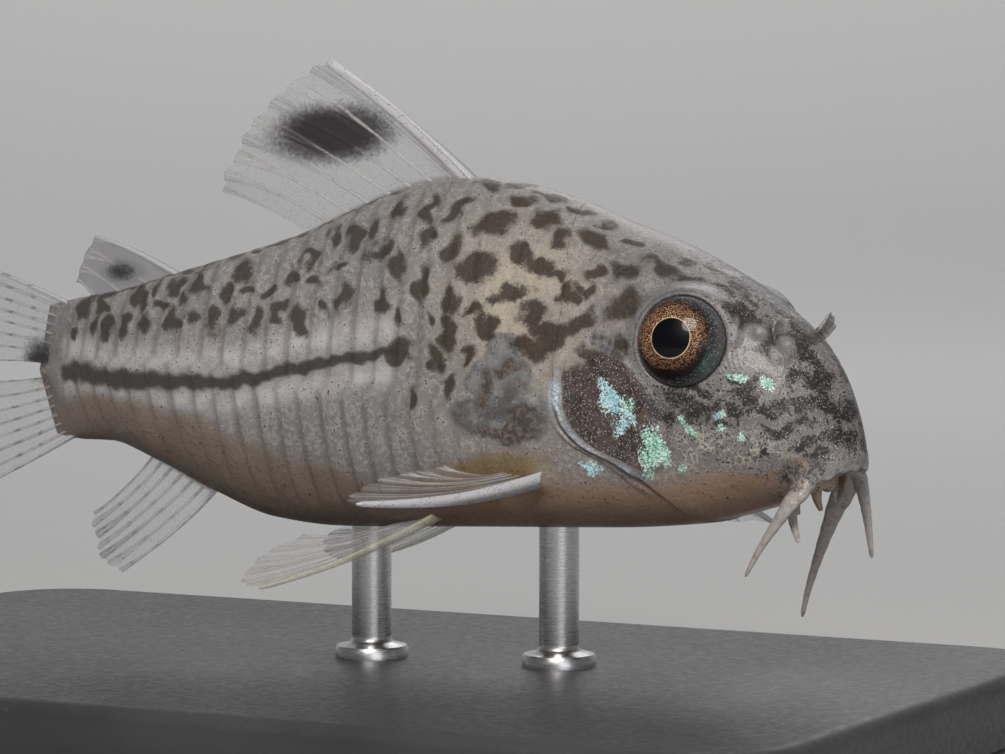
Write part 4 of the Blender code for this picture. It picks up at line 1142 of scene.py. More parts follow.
class Shader:
    """Builds the nodes of one material round its Principled surface."""

    def __init__(self, name, roughness=0.5, coat=0.0, coat_roughness=0.1, metallic=0.0,
                 subsurface=0.0, specular=0.5):
        self.material = bpy.data.materials.new(name)
        self.material.use_nodes = True
        self.tree = self.material.node_tree
        self.surface = self.tree.nodes["Principled BSDF"]
        self.set("Roughness", roughness)
        self.set("Metallic", metallic)
        self.set("Coat Weight", coat)
        self.set("Coat Roughness", coat_roughness)
        self.set("Specular IOR Level", specular)
        self.set("Subsurface Weight", subsurface)
        self.surface.inputs["Subsurface Radius"].default_value = (1.0, 0.45, 0.28)
        self.surface.inputs["Subsurface Scale"].default_value = 0.7 * MM
        self.place = self.tree.nodes.new("ShaderNodeTexCoord").outputs["Object"]

    def feed(self, socket, value):
        """Links a socket or sets its value."""
        if isinstance(value, bpy.types.NodeSocket):
            self.tree.links.new(value, socket)
        elif isinstance(value, tuple) and len(value) == 3 and socket.type == "RGBA":
            socket.default_value = (*value, 1.0)
        else:
            socket.default_value = value

    def set(self, name, value):
        """Feeds one input of the surface."""
        self.feed(self.surface.inputs[name], value)

    def node(self, kind, inputs, output=0, **settings):
        """Adds a node with its settings and inputs, and gives one of its outputs."""
        made = self.tree.nodes.new("ShaderNode" + kind)
        for key, value in settings.items():
            setattr(made, key, value)
        for key, value in inputs.items():
            self.feed(made.inputs[key], value)
        return made.outputs[output]

    def field(self, name):
        """One number a point, written on the mesh."""
        return self.node("Attribute", {}, "Fac", attribute_name=name)

    def math(self, operation, a, b):
        """One sum on two numbers."""
        return self.node("Math", {0: a, 1: b}, operation=operation)

    def add(self, a, b):
        """Two numbers, added."""
        return self.math("ADD", a, b)

    def times(self, a, b):
        """Two numbers, multiplied."""
        return self.math("MULTIPLY", a, b)

    def step(self, value, low, high, start=0.0, end=1.0):
        """A smooth step between two values."""
        return self.node("MapRange", {"Value": value, "From Min": low, "From Max": high,
                                      "To Min": start, "To Max": end},
                         interpolation_type="SMOOTHSTEP")

    def mix(self, part, a, b):
        """Two colours, mixed."""
        return self.node("Mix", {0: part, 6: a, 7: b}, 2, data_type="RGBA")

    def tint(self, colour, name, share, tint):
        """A colour mixed with a tint by a share of a field."""
        return self.mix(self.times(self.field(name), share), colour, tint)

    def torn(self, value, noise, amount):
        """A value raised and lowered by noise that is about a half."""
        return self.add(value, self.times(self.add(noise, -0.5), amount))

    def noise(self, size, detail=2.0, roughness=0.5, stretch=None):
        """Noise whose lumps are about a given size across."""
        spot = self.place
        if stretch is not None:
            spot = self.node("Mapping", {"Vector": spot, "Scale": stretch})
        return self.node("TexNoise", {"Vector": spot, "Scale": 0.6 / size, "Detail": detail,
                                      "Roughness": roughness})

    def cells(self, size, output="Distance"):
        """Grains of about a given size across."""
        return self.node("TexVoronoi", {"Vector": self.place, "Scale": 1.0 / size}, output)

    def grey(self, colour):
        """The first channel of a colour, as a random number a grain."""
        return self.node("SeparateColor", {"Color": colour}, 0)

    def grains(self, size, share, radius=0.38):
        """Round grains that fill a share of the cells of a given size."""
        inside = self.step(self.cells(size), radius + 0.1, radius - 0.1)
        drawn = self.grey(self.cells(size, "Color"))
        return self.times(inside, self.math("LESS_THAN", drawn, share))

    def bump(self, height, distance, strength):
        """A bump of a given height in metres."""
        return self.node("Bump", {"Strength": strength, "Distance": distance, "Height": height})

    def put_on(self, made):
        """Gives an object this material alone."""
        made.data.materials.clear()
        made.data.materials.append(self.material)


def skin_material():
    """Wet skin over bony plates, with all the fish's markings."""
    s = Shader("fish_skin", coat=0.35, coat_roughness=0.20, subsurface=0.08, specular=0.30)
    broad = s.noise(2.4 * MM, 3.0)
    lumps = s.noise(0.8 * MM, 3.0, 0.6)
    grain = s.noise(0.17 * MM, 3.0, 0.65)
    dust = s.noise(0.075 * MM, 3.0, 0.7)

    # Bare skin: grey on the head, cream on the shoulder, paler grey towards the tail
    colour = s.mix(s.field("cream"), (0.225, 0.200, 0.188), (0.45, 0.390, 0.300))
    colour = s.mix(s.field("head"), colour, (0.180, 0.163, 0.160))
    colour = s.mix(s.field("tailward"), colour, (0.215, 0.210, 0.218))
    colour = s.tint(colour, "pale_band", 0.9, (0.53, 0.525, 0.535))
    colour = s.mix(s.step(lumps, 0.40, 0.70, 0.0, 0.5), colour, (0.120, 0.103, 0.094))
    colour = s.mix(s.step(broad, 0.4, 0.7, 0.0, 0.25), colour, (0.34, 0.28, 0.255))
    pale = s.step(s.add(grain, s.times(lumps, 0.4)), 0.62, 0.86, 0.0, 0.45)
    colour = s.mix(pale, colour, (0.52, 0.49, 0.465))
    dusty = s.times(s.field("head"), s.step(dust, 0.56, 0.66, 0.0, 0.6))
    colour = s.mix(dusty, colour, (0.46, 0.44, 0.43))
    colour = s.tint(colour, "groove", 0.38, (0.115, 0.100, 0.088))

    # The belly: tan-brown skin with painted shade on the underside, painted darker still towards
    # the tail
    belly = s.mix(s.step(broad, 0.35, 0.65), (0.26, 0.160, 0.098), (0.34, 0.225, 0.155))
    belly = s.tint(belly, "tailward", 0.8, (0.17, 0.135, 0.110))
    belly = s.mix(s.step(lumps, 0.45, 0.75, 0.0, 0.35), belly, (0.33, 0.24, 0.18))
    colour = s.mix(s.field("belly"), colour, belly)
    colour = s.tint(colour, "olive", 0.8, (0.19, 0.125, 0.045))

    collar = s.mix(s.step(lumps, 0.36, 0.62), (0.075, 0.070, 0.068), (0.215, 0.220, 0.225))
    collar = s.mix(s.step(grain, 0.57, 0.74, 0.0, 0.55), collar, (0.40, 0.45, 0.50))
    low = s.mix(s.step(grain, 0.40, 0.65), (0.036, 0.025, 0.020), (0.15, 0.115, 0.10))
    shades = s.step(s.torn(s.field("collar_low"), lumps, 1.2), 0.20, 0.85)
    collar = s.mix(shades, collar, low)
    patchy = s.step(s.torn(s.field("collar"), lumps, 0.9), 0.20, 0.80)
    colour = s.mix(s.times(patchy, 0.85), colour, collar)
    under = s.step(s.torn(s.field("under_eye"), lumps, 1.1), 0.25, 0.90)
    slate = s.mix(s.step(grain, 0.38, 0.62), (0.030, 0.030, 0.033), (0.17, 0.175, 0.185))
    colour = s.mix(s.times(under, 0.75), colour, slate)
    colour = s.tint(colour, "eye_ring", 0.6, (0.20, 0.198, 0.20))

    # Fine dark pepper of the snout, cheeks and crown, thickest in the dark clouds
    mottle = s.torn(s.field("mottle"), lumps, 1.3)
    cloud = s.step(s.torn(mottle, grain, 0.9), 0.05, 0.95)
    share = s.times(s.field("stipple"), s.add(0.55, s.times(cloud, 0.95)))
    clumps = s.add(s.times(dust, 0.6), s.times(grain, 0.4))
    pepper = s.step(s.add(clumps, s.times(share, 0.095)), 0.578, 0.625)
    shade = s.times(s.times(cloud, s.add(0.35, s.field("stipple"))), 0.55)
    colour = s.mix(shade, colour, (0.080, 0.068, 0.065))
    colour = s.mix(s.times(pepper, 0.92), colour, (0.013, 0.011, 0.010))

    # Blotches with soft granular edges
    edge = s.torn(s.field("blotch"), grain, 1.1)
    edge = s.torn(edge, dust, 0.9)
    blotch = s.step(edge, 0.14, 0.84)
    brown = s.mix(s.field("tailward"), (0.030, 0.018, 0.010), (0.044, 0.036, 0.028))
    brown = s.mix(s.step(dust, 0.48, 0.72, 0.0, 0.55), brown, (0.110, 0.078, 0.050))
    colour = s.mix(s.times(blotch, 0.93), colour, brown)

    stripe = s.step(s.torn(s.field("stripe"), grain, 0.8), 0.10, 0.95)
    colour = s.mix(s.times(stripe, 0.90), colour, (0.034, 0.029, 0.026))

    # The gill cover: reddish brown with a dust of white grains
    cover = s.mix(s.step(lumps, 0.38, 0.62), (0.024, 0.016, 0.013), (0.100, 0.064, 0.054))
    cover = s.mix(s.step(dust, 0.50, 0.66, 0.0, 0.75), cover, (0.20, 0.155, 0.145))
    clouded = s.step(s.add(s.times(lumps, 0.6), s.times(grain, 0.4)), 0.50, 0.60, 0.0, 0.8)
    cover = s.mix(clouded, cover, (0.020, 0.015, 0.012))
    cover = s.mix(s.times(s.grains(0.085 * MM, 0.30, 0.30), 0.85), cover, (0.70, 0.66, 0.68))
    edge = s.step(s.torn(s.field("cover"), grain, 0.7), 0.25, 0.70)
    colour = s.mix(s.times(edge, 0.95), colour, cover)
    # The pale rim, brightened further by a painted highlight
    rim = s.mix(s.step(dust, 0.42, 0.60), (0.26, 0.34, 0.46), (0.80, 0.90, 0.95))
    colour = s.mix(s.field("rim"), colour, rim)
    # Painted shade in the gap behind the gill cover
    colour = s.tint(colour, "gill_gap_shade", 0.75, (0.085, 0.042, 0.032))

    # Pale curled flecks on the lower cheek
    curls = s.node("TexVoronoi", {"Vector": s.place, "Scale": 1 / (0.42 * MM), "Detail": 1.0},
                   "Distance", feature="DISTANCE_TO_EDGE")
    lines = s.step(s.torn(curls, grain, 0.25), 0.10, 0.02)
    lines = s.times(lines, s.step(lumps, 0.47, 0.56))
    colour = s.mix(s.times(s.times(lines, s.field("fleck")), 0.75), colour, (0.66, 0.60, 0.48))

    # Glints of cyan and green, broken into grains
    spark = s.grey(s.cells(0.070 * MM, "Color"))
    tint = s.mix(s.field("green"), (0.34, 0.66, 0.75), (0.19, 0.54, 0.34))
    tint = s.mix(s.step(spark, 0.50, 0.95), tint, (0.80, 0.95, 0.93))
    tint = s.mix(s.step(spark, 0.30, 0.0, 0.0, 0.8), tint, (0.06, 0.13, 0.13))
    glint = s.torn(s.field("glint"), spark, 0.60)
    glint = s.step(s.torn(glint, grain, 0.8), 0.40, 0.66)
    colour = s.mix(s.times(glint, 0.92), colour, tint)
    # White grains on the peppered skin: painted sparkle highlights of wet skin
    painted_sparkles = s.times(s.grains(0.075 * MM, 0.16, 0.28), s.field("stipple"))
    colour = s.mix(s.times(painted_sparkles, 0.8), colour, (0.82, 0.82, 0.80))

    colour = s.tint(colour, "nostril", 0.7, (0.235, 0.225, 0.23))
    colour = s.tint(colour, "nostril_dark", 0.45, (0.05, 0.040, 0.036))
    flesh = s.mix(s.step(grain, 0.45, 0.75, 0.0, 0.6), (0.43, 0.42, 0.42), (0.20, 0.185, 0.18))
    flesh = s.mix(s.times(pepper, 0.45), flesh, (0.06, 0.055, 0.05))
    colour = s.tint(colour, "barbel", 0.8, flesh)
    colour = s.tint(colour, "lip_edge", 0.75, (0.50, 0.49, 0.49))
    # Painted shade in the lid's crease and round the eyeball's edge
    colour = s.tint(colour, "lid_crease_shade", 0.8, (0.030, 0.025, 0.025))
    s.set("Base Color", colour)

    rough = s.step(grain, 0.3, 0.7, 0.38, 0.58)
    rough = s.math("SUBTRACT", rough, s.times(glint, 0.15))
    s.set("Roughness", rough)
    height = s.add(s.times(grain, 0.8), s.times(lumps, 0.9))
    height = s.add(height, s.times(dust, 0.35))
    normal = s.bump(height, 0.07 * MM, 0.9)
    s.set("Normal", normal)
    s.set("Coat Normal", s.bump(s.add(s.times(lumps, 0.9), s.times(grain, 0.6)), 0.06 * MM, 0.7))
    return s


def eye_profile(turns=128, rings=90):
    """The eyeball: a low dome with a raised cornea, closed behind."""
    angles = ring_angles(turns)
    rows = []
    for part in np.linspace(0.02, 0.985, rings):
        lift = math.cos(part * math.pi)
        reach = math.sin(part * math.pi) * EYE_RADIUS
        height = lift * EYE_DEPTH
        if lift > 0:
            height += CORNEA_RISE * math.exp(-(reach / (1.5 * MM)) ** 2)
        rows.append(np.stack([reach * np.cos(angles), reach * np.sin(angles),
                              np.full(turns, height)], axis=-1))
    return np.array(rows)


def make_eye(name, sign):
    """One eyeball, with fields for pupil, iris and rim."""
    axes = eye_axes(sign)
    rows = eye_profile()
    top = EYE_DEPTH + CORNEA_RISE
    world = out_of(axes, rows.reshape(-1, 3)).reshape(rows.shape)
    front = out_of(axes, np.array([[0, 0, top]]))[0]
    rear = out_of(axes, np.array([[0, 0, -EYE_DEPTH]]))[0]
    eye = loft(name, world, front, rear)
    local = into(axes, mesh_points(eye.data)) / MM
    pupil_x, pupil_y = PUPIL_SHIFT
    away_x = local[:, 0] - pupil_x
    away_y = (local[:, 1] - pupil_y) / 0.99
    write_field(eye.data, "pupil_reach", np.hypot(away_x, away_y))
    write_field(eye.data, "eye_reach", np.hypot(local[:, 0] - IRIS_SHIFT, local[:, 1]))
    write_field(eye.data, "eye_low", step_between(-local[:, 1] - 0.25 * local[:, 0], -0.4, 1.7))
    write_field(eye.data, "eye_green", hump(local[:, 0], -1.3, 0.7) * hump(local[:, 1], -0.9, 0.8))
    return eye


def eye_material():
    """Black pupil, grainy copper iris and a dark rim with silver grains, under a wet coat."""
    s = Shader("fish_eye", roughness=0.35, coat=0.7, coat_roughness=0.05, specular=0.1)
    s.surface.inputs["Coat IOR"].default_value = 1.3
    reach = s.field("pupil_reach")
    out = s.field("eye_reach")
    low = s.field("eye_low")
    soft = s.noise(0.4 * MM, 3.0, 0.6)
    wobble = s.times(s.add(soft, -0.5), 0.30)
    drawn = s.grey(s.cells(0.072 * MM, "Color"))
    inside = s.step(s.cells(0.072 * MM), 0.54, 0.30)
    gold = s.mix(drawn, (0.20, 0.060, 0.018), (0.88, 0.58, 0.33))
    grains = s.mix(inside, (0.022, 0.008, 0.004), gold)
    copper = s.mix(s.step(soft, 0.35, 0.65), (0.10, 0.036, 0.015), (0.27, 0.115, 0.050))
    iris = s.mix(s.step(drawn, 0.25, 0.55, 0.65, 0.0), grains, copper)
    # The iris is thick in light grains near the pupil and darkens outwards and below
    shade = s.add(s.step(s.add(out, wobble), 1.42, 2.15), s.times(low, 0.80))
    shade = s.torn(shade, soft, 1.6)
    thin = s.step(s.torn(shade, drawn, 1.1), 0.45, 0.95)
    iris = s.mix(thin, iris, (0.010, 0.006, 0.005))
    silver = s.grains(0.080 * MM, 0.50, 0.28)
    haze = s.mix(s.step(out, 2.1, 2.6), (0.020, 0.019, 0.022), (0.085, 0.085, 0.092))
    rim = s.mix(s.times(silver, 0.85), haze, (0.50, 0.48, 0.48))
    greenish = s.mix(s.step(drawn, 0.2, 0.9), (0.012, 0.035, 0.025), (0.10, 0.30, 0.22))
    rim = s.tint(rim, "eye_green", 0.4, greenish)
    colour = s.mix(s.step(s.add(out, wobble), 1.95, 2.18), iris, rim)
    ring = s.times(s.step(reach, 1.04, 1.07), s.step(reach, 1.13, 1.09))
    colour = s.mix(s.times(ring, s.step(soft, 0.30, 0.60, 0.35, 0.85)), colour, (0.80, 0.58, 0.36))
    colour = s.mix(s.step(reach, 1.08, 1.04), colour, (0.0012, 0.0016, 0.0025))
    s.set("Base Color", colour)
    s.set("Normal", s.bump(s.times(inside, s.step(reach, 1.1, 1.2)), 0.012 * MM, 0.5))
    return s


def track(knots):
    """A function from 0 to 1 to body places, through (part, station, side, level) knots."""
    parts = [knot[0] for knot in knots]
    curves = [smooth_curve(list(zip(parts, values))) for values in list(zip(*knots))[1:]]

    def at(part):
        station, side, level = [curve(part) for curve in curves]
        return np.stack([station, side * MM, level * MM], axis=-1)

    return at


def along_edge(curve, knots, sunk):
    """Roots along the back or the belly, by (part, station) knots, sunk into the skin."""
    station_at = smooth_curve(knots)

    def at(part):
        station = station_at(part)
        level = curve(station) * BODY_LENGTH - sunk
        return np.stack([station, 0 * station, level], axis=-1)

    return at


def branch_offsets(reach):
    """How far a ray's branches lie from its middle, in gaps between rays."""
    first = 0.20 * step_between(reach, 0.42, 1.0)
    second = 0.10 * step_between(reach, 0.70, 1.05)
    return [a * first + b * second for a in (-1, 1) for b in (-1, 1)]


def make_fin(name, roots, tips, rays, bow, lead, lead_width, sunk, curl=0.0):
    """A rayed fin as a fine sheet: rays branch towards the edge, with thin web between.

    The bow bends it halfway out, in stations and mm. The leading spine's half thickness and
    width, and the curl of its edge, are in mm. Sunk is the part of its reach inside the body.
    """
    columns = COLUMNS_A_RAY * (rays - 1) + 1
    part = np.linspace(0, 1, columns)[:, None]
    reach = np.linspace(-sunk, 1, FIN_ROWS)[None, :]
    gap = part * (rays - 1)
    nearest = np.round(gap)
    between = np.abs(gap - nearest) * 2
    draw = np.random.default_rng(sum(map(ord, name)))
    ray_length = 1 + draw.uniform(-0.012, 0.012, rays)
    ray_length[0] = 1.0
    tip_length = np.interp(part[:, 0], np.linspace(0, 1, rays), ray_length)[:, None]
    length = tip_length - 0.030 * between ** 1.5 - 0.006 * np.abs(np.sin(gap * math.pi * 4))
    t = np.where(reach > 0, reach * length, reach)
    start = roots(part[:, 0])[:, None, :]
    end = tips(part[:, 0])[:, None, :]
    bend = np.array(bow) * np.array([1, MM, MM])
    arch = 4 * t * (1 - t)
    body = start + (end - start) * t[..., None] + arch[..., None] * bend
    body[..., 1] -= np.minimum(t, 0) * 0.6 * (end - start)[..., 1]
    ripple = curl * np.sin(gap * math.pi * 0.9 + 0.7) * np.clip(t, 0, 1) ** 1.5
    body[..., 1] += ripple * MM
    grid = place(body[..., 0], body[..., 1], body[..., 2])
    spacing = np.linalg.norm(np.gradient(grid, axis=0), axis=-1) * COLUMNS_A_RAY
    off = gap - nearest
    along = np.clip(t, 0, 1)
    width = (0.115 - 0.055 * along) * MM
    ridge = np.zeros(grid.shape[:2])
    for shift in branch_offsets(along):
        shift = np.where(nearest == 0, np.abs(shift), shift)
        distance = np.abs(off - shift) * spacing
        ridge = np.maximum(ridge, np.exp(-(distance / width) ** 2))
    ray_run = along * np.linalg.norm(end - start, axis=-1)
    notches = (0.5 + 0.5 * np.cos(ray_run / RAY_SEGMENT * math.tau)) ** 6
    joints = 1 - 0.18 * step_between(along, 0.2, 0.35) * notches
    spine = np.exp(-(gap * spacing / (lead_width * MM * (1 - 0.45 * along))) ** 4)
    half = WEB_HALF * (1 - 0.4 * along) + RAY_HALF * (1 - 0.6 * along) * ridge * joints
    half = half + spine * lead * MM * (1 - 0.72 * along ** 1.3)
    half = half * (1 - 0.6 * step_between(reach, 0.97, 1.0))
    half = half * (1 - 0.5 * step_between(-t, 0.0, 0.16))
    fin, index = sheet(name, grid, half)
    fields = {"ray": np.maximum(ridge * joints, 0), "along": along, "gap": gap + 0 * along,
              "spine": spine, "station": body[..., 0], "level": body[..., 2] / MM}
    return fin, index, fields


def finish_fin(fin, index, fields, dark, tint=None, milk=None):
    """Writes a fin's fields, with its dark pigment, yellow tint and milkiness."""
    for key in ("ray", "along", "spine"):
        write_field(fin.data, key, fields[key].reshape(-1)[index])
    shape = fields["ray"].shape
    for key, values in (("dark", dark), ("tint", tint), ("milk", milk)):
        values = np.zeros(shape) if values is None else values + np.zeros(shape)
        write_field(fin.data, key, values.reshape(-1)[index])


def fin_material():
    """Thin clear web between pale rays, with dark pigment where the fish has it."""
    s = Shader("fish_fin", coat=0.35, coat_roughness=0.15, specular=0.4)
    ray = s.field("ray")
    along = s.field("along")
    spine = s.field("spine")
    grain = s.noise(0.12 * MM, 2.0, 0.6)
    lumps = s.noise(0.5 * MM, 3.0, 0.6)
    bone = s.math("MAXIMUM", ray, spine)
    colour = s.mix(bone, (0.30, 0.29, 0.30), (0.47, 0.455, 0.45))
    colour = s.mix(s.times(spine, 0.7), colour, (0.60, 0.59, 0.62))
    colour = s.tint(colour, "tint", 0.7, (0.50, 0.46, 0.26))
    dots = s.grains(0.11 * MM, s.step(lumps, 0.35, 0.65, 0.08, 0.36), 0.36)
    colour = s.mix(s.times(dots, 0.7), colour, (0.09, 0.08, 0.08))
    dark = s.torn(s.field("dark"), grain, 0.5)
    dark = s.step(dark, 0.18, 0.90)
    colour = s.mix(s.times(dark, 0.95), colour, (0.012, 0.010, 0.010))
    s.set("Base Color", colour)
    solid = s.step(bone, 0.1, 0.8, 0.10, 0.48)
    solid = s.math("MAXIMUM", solid, s.step(along, 0.08, 0.0, 0.0, 0.9))
    solid = s.math("MAXIMUM", solid, s.times(dark, 0.95))
    solid = s.math("MAXIMUM", solid, s.field("milk"))
    solid = s.math("MAXIMUM", solid, s.times(dots, 0.30))
    s.set("Alpha", s.math("MINIMUM", solid, 1.0))
    s.set("Roughness", s.step(grain, 0.3, 0.7, 0.36, 0.52))
    s.set("Normal", s.bump(grain, 0.012 * MM, 0.6))
    return s


DORSAL_TIPS = track([(0, 0.636, 0, 16.6), (0.15, 0.664, 0, 16.1), (0.5, 0.735, 0, 13.6),
                     (1, 0.780, 0, 9.6)])
ADIPOSE_TIPS = track([(0, 0.946, 0.2, 7.6), (0.4, 0.966, 0.2, 6.4), (1, 0.985, 0, 4.9)])
ANAL_TIPS = track([(0, 0.935, 0, -11.6), (0.3, 0.972, 0, -10.9), (1, 0.982, 0, -8.2)])
UPPER_TIPS = track([(0, 1.285, 0, 8.4), (0.3, 1.282, 0, 5.9), (0.65, 1.235, 0, 3.2),
                    (1, 1.170, 0, 0.4)])
LOWER_TIPS = track([(0, 1.290, 0, -8.8), (0.3, 1.286, 0, -6.2), (0.65, 1.238, 0, -3.3),
                    (1, 1.170, 0, -0.4)])
PELVIC_ROOT = [(0, 0.500, 3.2, -8.2), (1, 0.545, 2.2, -8.7)]
PELVIC_TIPS = [(0, 0.690, 8.0, -11.9), (0.3, 0.722, 7.3, -11.6), (0.65, 0.716, 5.7, -10.6),
               (1, 0.672, 4.0, -9.3)]
PECTORAL_RIGHT_ROOT = [(0, 0.338, 5.1, -6.35), (1, 0.392, 4.9, -5.9)]
PECTORAL_RIGHT_TIPS = [(0, 0.533, 13.0, -7.1), (0.25, 0.556, 11.6, -6.9), (0.6, 0.545, 8.9, -6.2),
                       (1, 0.475, 7.1, -5.6)]
PECTORAL_LEFT_ROOT = [(0, 0.348, -4.6, -6.9), (1, 0.396, -4.7, -6.3)]
PECTORAL_LEFT_TIPS = [(0, 0.300, -14.3, -10.8), (0.25, 0.352, -14.0, -10.6),
                      (0.6, 0.418, -12.3, -9.8), (1, 0.445, -9.2, -8.4)]


def mirrored(knots, station_shift=0.0):
    """The same knots on the fish's other side."""
    return [(part, station + station_shift, -side, level) for part, station, side, level in knots]


def make_fins(look):
    """All nine fins, each in place of its solid."""

    def add_fin(name, roots, tips, rays, dark, tint=None, milk=None, **shape):
        fin, index, fields = make_fin(name + "_web", roots, tips, rays, **shape)
        finish_fin(fin, index, fields, dark(fields), tint and tint(fields), milk and milk(fields))
        stands_for(fin, look, "fin", name)

    def dorsal_blotch(f):
        oval = np.hypot((f["station"] - 0.640) / 0.088, (f["level"] - 12.5) / 1.9)
        rows = hump((f["along"] * 5.0) % 1.0, 0.5, 0.22) * (f["ray"] > 0.3) * 0.35
        return np.maximum(np.clip(1.35 - oval, 0, 1) * (1 - f["spine"]), rows * (f["gap"] > 0.5))

    def spine_line(f):
        from_edge = f["gap"] * (0.4 + 0.6 * f["along"])
        return hump(from_edge, 0.42, 0.20) * (1 - step_between(f["along"], 0.5, 0.9)) * 0.58

    def bars(f):
        station = f["station"]
        bands = 0.5 + 0.5 * np.cos((station - 1.09) / 0.040 * math.tau)
        bands = step_between(bands, 0.55, 0.9) * step_between(f["ray"], 0.15, 0.6)
        spot = hump(station, 1.045, 0.035) * hump(f["level"], 0.6, 1.6)
        return np.maximum(0.62 * bands * (station > 1.05), 0.85 * spot)

    add_fin("dorsal_fin", along_edge(BACK, [(0, 0.474), (1, 0.672)], 0.25 * MM), DORSAL_TIPS, 9,
            dorsal_blotch, milk=lambda f: 0.95 * f["spine"] + 0.15 * (1 - f["along"]) ** 3,
            bow=(-0.004, 0.25, 0.25), lead=0.42, lead_width=1.15, sunk=0.04, curl=0.25)
    add_fin("adipose_fin", along_edge(BACK, [(0, 0.832), (1, 0.955)], 0.2 * MM), ADIPOSE_TIPS, 4,
            lambda f: 0.8 * hump(f["along"], 0.35, 0.3) * hump(f["gap"], 1.2, 0.9),
            milk=lambda f: 0.5 + 0 * f["along"],
            bow=(0.0, 0.1, 0.3), lead=0.22, lead_width=0.35, sunk=0.05)
    add_fin("anal_fin", along_edge(BELLY, [(0, 0.800), (1, 0.880)], -0.2 * MM), ANAL_TIPS, 7,
            lambda f: 0.5 * hump((f["along"] * 4.0) % 1.0, 0.5, 0.2) * (f["ray"] > 0.3),
            bow=(-0.008, 0.2, -0.2), lead=0.16, lead_width=0.3, sunk=0.06, curl=0.15)
    for name, tips, sign in (("caudal_fin_upper", UPPER_TIPS, 1),
                             ("caudal_fin_lower", LOWER_TIPS, -1)):
        root = track([(0, 1.0, 0, 3.85 * sign), (1, 1.0, 0, 0.10 * sign)])
        add_fin(name, root, tips, 8, bars,
                bow=(0.0, 0.35, 0.3 * sign), lead=0.14, lead_width=0.3, sunk=0.08, curl=0.3)
    for name, root, tips, sign in (
            ("pelvic_fin_right", PELVIC_ROOT, PELVIC_TIPS, 1),
            ("pelvic_fin_left", mirrored(PELVIC_ROOT), mirrored(PELVIC_TIPS, 0.01), -1)):
        add_fin(name, track(root), track(tips), 7, lambda f: 0 * f["along"],
                tint=lambda f: np.clip(hump(f["gap"], 0.3, 0.9), 0, 1),
                bow=(0, 0.5 * sign, -0.4), lead=0.16, lead_width=0.3, sunk=0.12, curl=0.2)
    for name, root, tips, bow in (
            ("pectoral_fin_right", PECTORAL_RIGHT_ROOT, PECTORAL_RIGHT_TIPS, (0, 0.4, -0.5)),
            ("pectoral_fin_left", PECTORAL_LEFT_ROOT, PECTORAL_LEFT_TIPS, (0, -0.4, 0.6))):
        add_fin(name, track(root), track(tips), 7, spine_line, milk=lambda f: 0.9 * f["spine"],
                bow=bow, lead=0.34, lead_width=0.52, sunk=0.16, curl=0.15)


def make_base():
    """The display stand's flat base, with round corners and a rolled upper edge."""
    look = Shader("stand_base_resin", roughness=0.42, specular=0.5)
    fine = look.noise(0.25 * MM, 4.0, 0.6)
    cloud = look.noise(9 * MM, 3.0)
    tone = look.mix(look.step(cloud, 0.35, 0.65), (0.034, 0.035, 0.038), (0.052, 0.053, 0.056))
    tone = look.mix(look.step(fine, 0.62, 0.8, 0.0, 0.5), tone, (0.11, 0.11, 0.115))
    look.set("Base Color", tone)
    look.set("Roughness", look.step(fine, 0.3, 0.7, 0.36, 0.52))
    look.set("Normal", look.bump(fine, 0.02 * MM, 0.6))
    low, high = (np.array(corner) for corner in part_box("stand_base"))
    half_x, half_y = (high - low)[:2] / 2
    heights = [(0.0, BASE_CHAMFER), (BASE_CHAMFER, 0.0)]
    for angle in np.linspace(0, math.pi / 2, 9):
        heights.append((high[2] - BASE_ROLL + BASE_ROLL * math.sin(angle),
                        BASE_ROLL * (1 - math.cos(angle))))
    rings = []
    for height, inset in heights:
        ring = []
        radius = BASE_CORNER - inset
        for corner, (sign_x, sign_y) in enumerate([(1, 1), (-1, 1), (-1, -1), (1, -1)]):
            for step in range(CORNER_POINTS):
                angle = math.pi / 2 * (corner + step / (CORNER_POINTS - 1))
                ring.append((sign_x * (half_x - BASE_CORNER) + radius * math.cos(angle),
                             sign_y * (half_y - BASE_CORNER) + radius * math.sin(angle), height))
        rings.append(ring)
    base = loft("stand_base_slab", np.array(rings), (0, 0, 0), (0, 0, high[2]))
    base.data.set_sharp_from_angle(angle=math.radians(50))
    stands_for(base, look, "stand_base", "stand_base")


def make_rods():
    """The stand's two steel rods, each with a collar at its foot."""
    steel = Shader("stand_rod_steel", roughness=0.3, metallic=1.0)
    lines = steel.noise(0.5 * MM, 2.0, 0.6, stretch=(1, 1, 14))
    steel.set("Base Color", steel.mix(lines, (0.50, 0.50, 0.51), (0.68, 0.67, 0.66)))
    steel.set("Roughness", steel.step(lines, 0.3, 0.7, 0.22, 0.38))
    steel.set("Normal", steel.bump(lines, 0.01 * MM, 0.5))
    angles = ring_angles(ROD_SIDES)
    for name in ("front", "rear"):
        low, high = (np.array(corner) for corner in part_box("stand_rod_" + name))
        centre = (low + high) / 2
        radius = (high - low)[0] / 2
        top = high[2] + ROD_SINK
        profile = [(reach, height * MM) for reach, height in ROD_COLLAR]
        profile += [(1.0, height) for height in np.linspace(5.2 * MM, top, 12)]
        rings = [np.stack([centre[0] + radius * reach * np.cos(angles),
                           centre[1] + radius * reach * np.sin(angles),
                           np.full(ROD_SIDES, height)], axis=-1) for reach, height in profile]
        rod = loft("stand_rod_%s_bar" % name, np.array(rings),
                   (centre[0], centre[1], profile[0][1]), (centre[0], centre[1], top))
        rod.data.set_sharp_from_angle(angle=math.radians(40))
        stands_for(rod, steel, "stand_rod", "stand_rod_" + name)


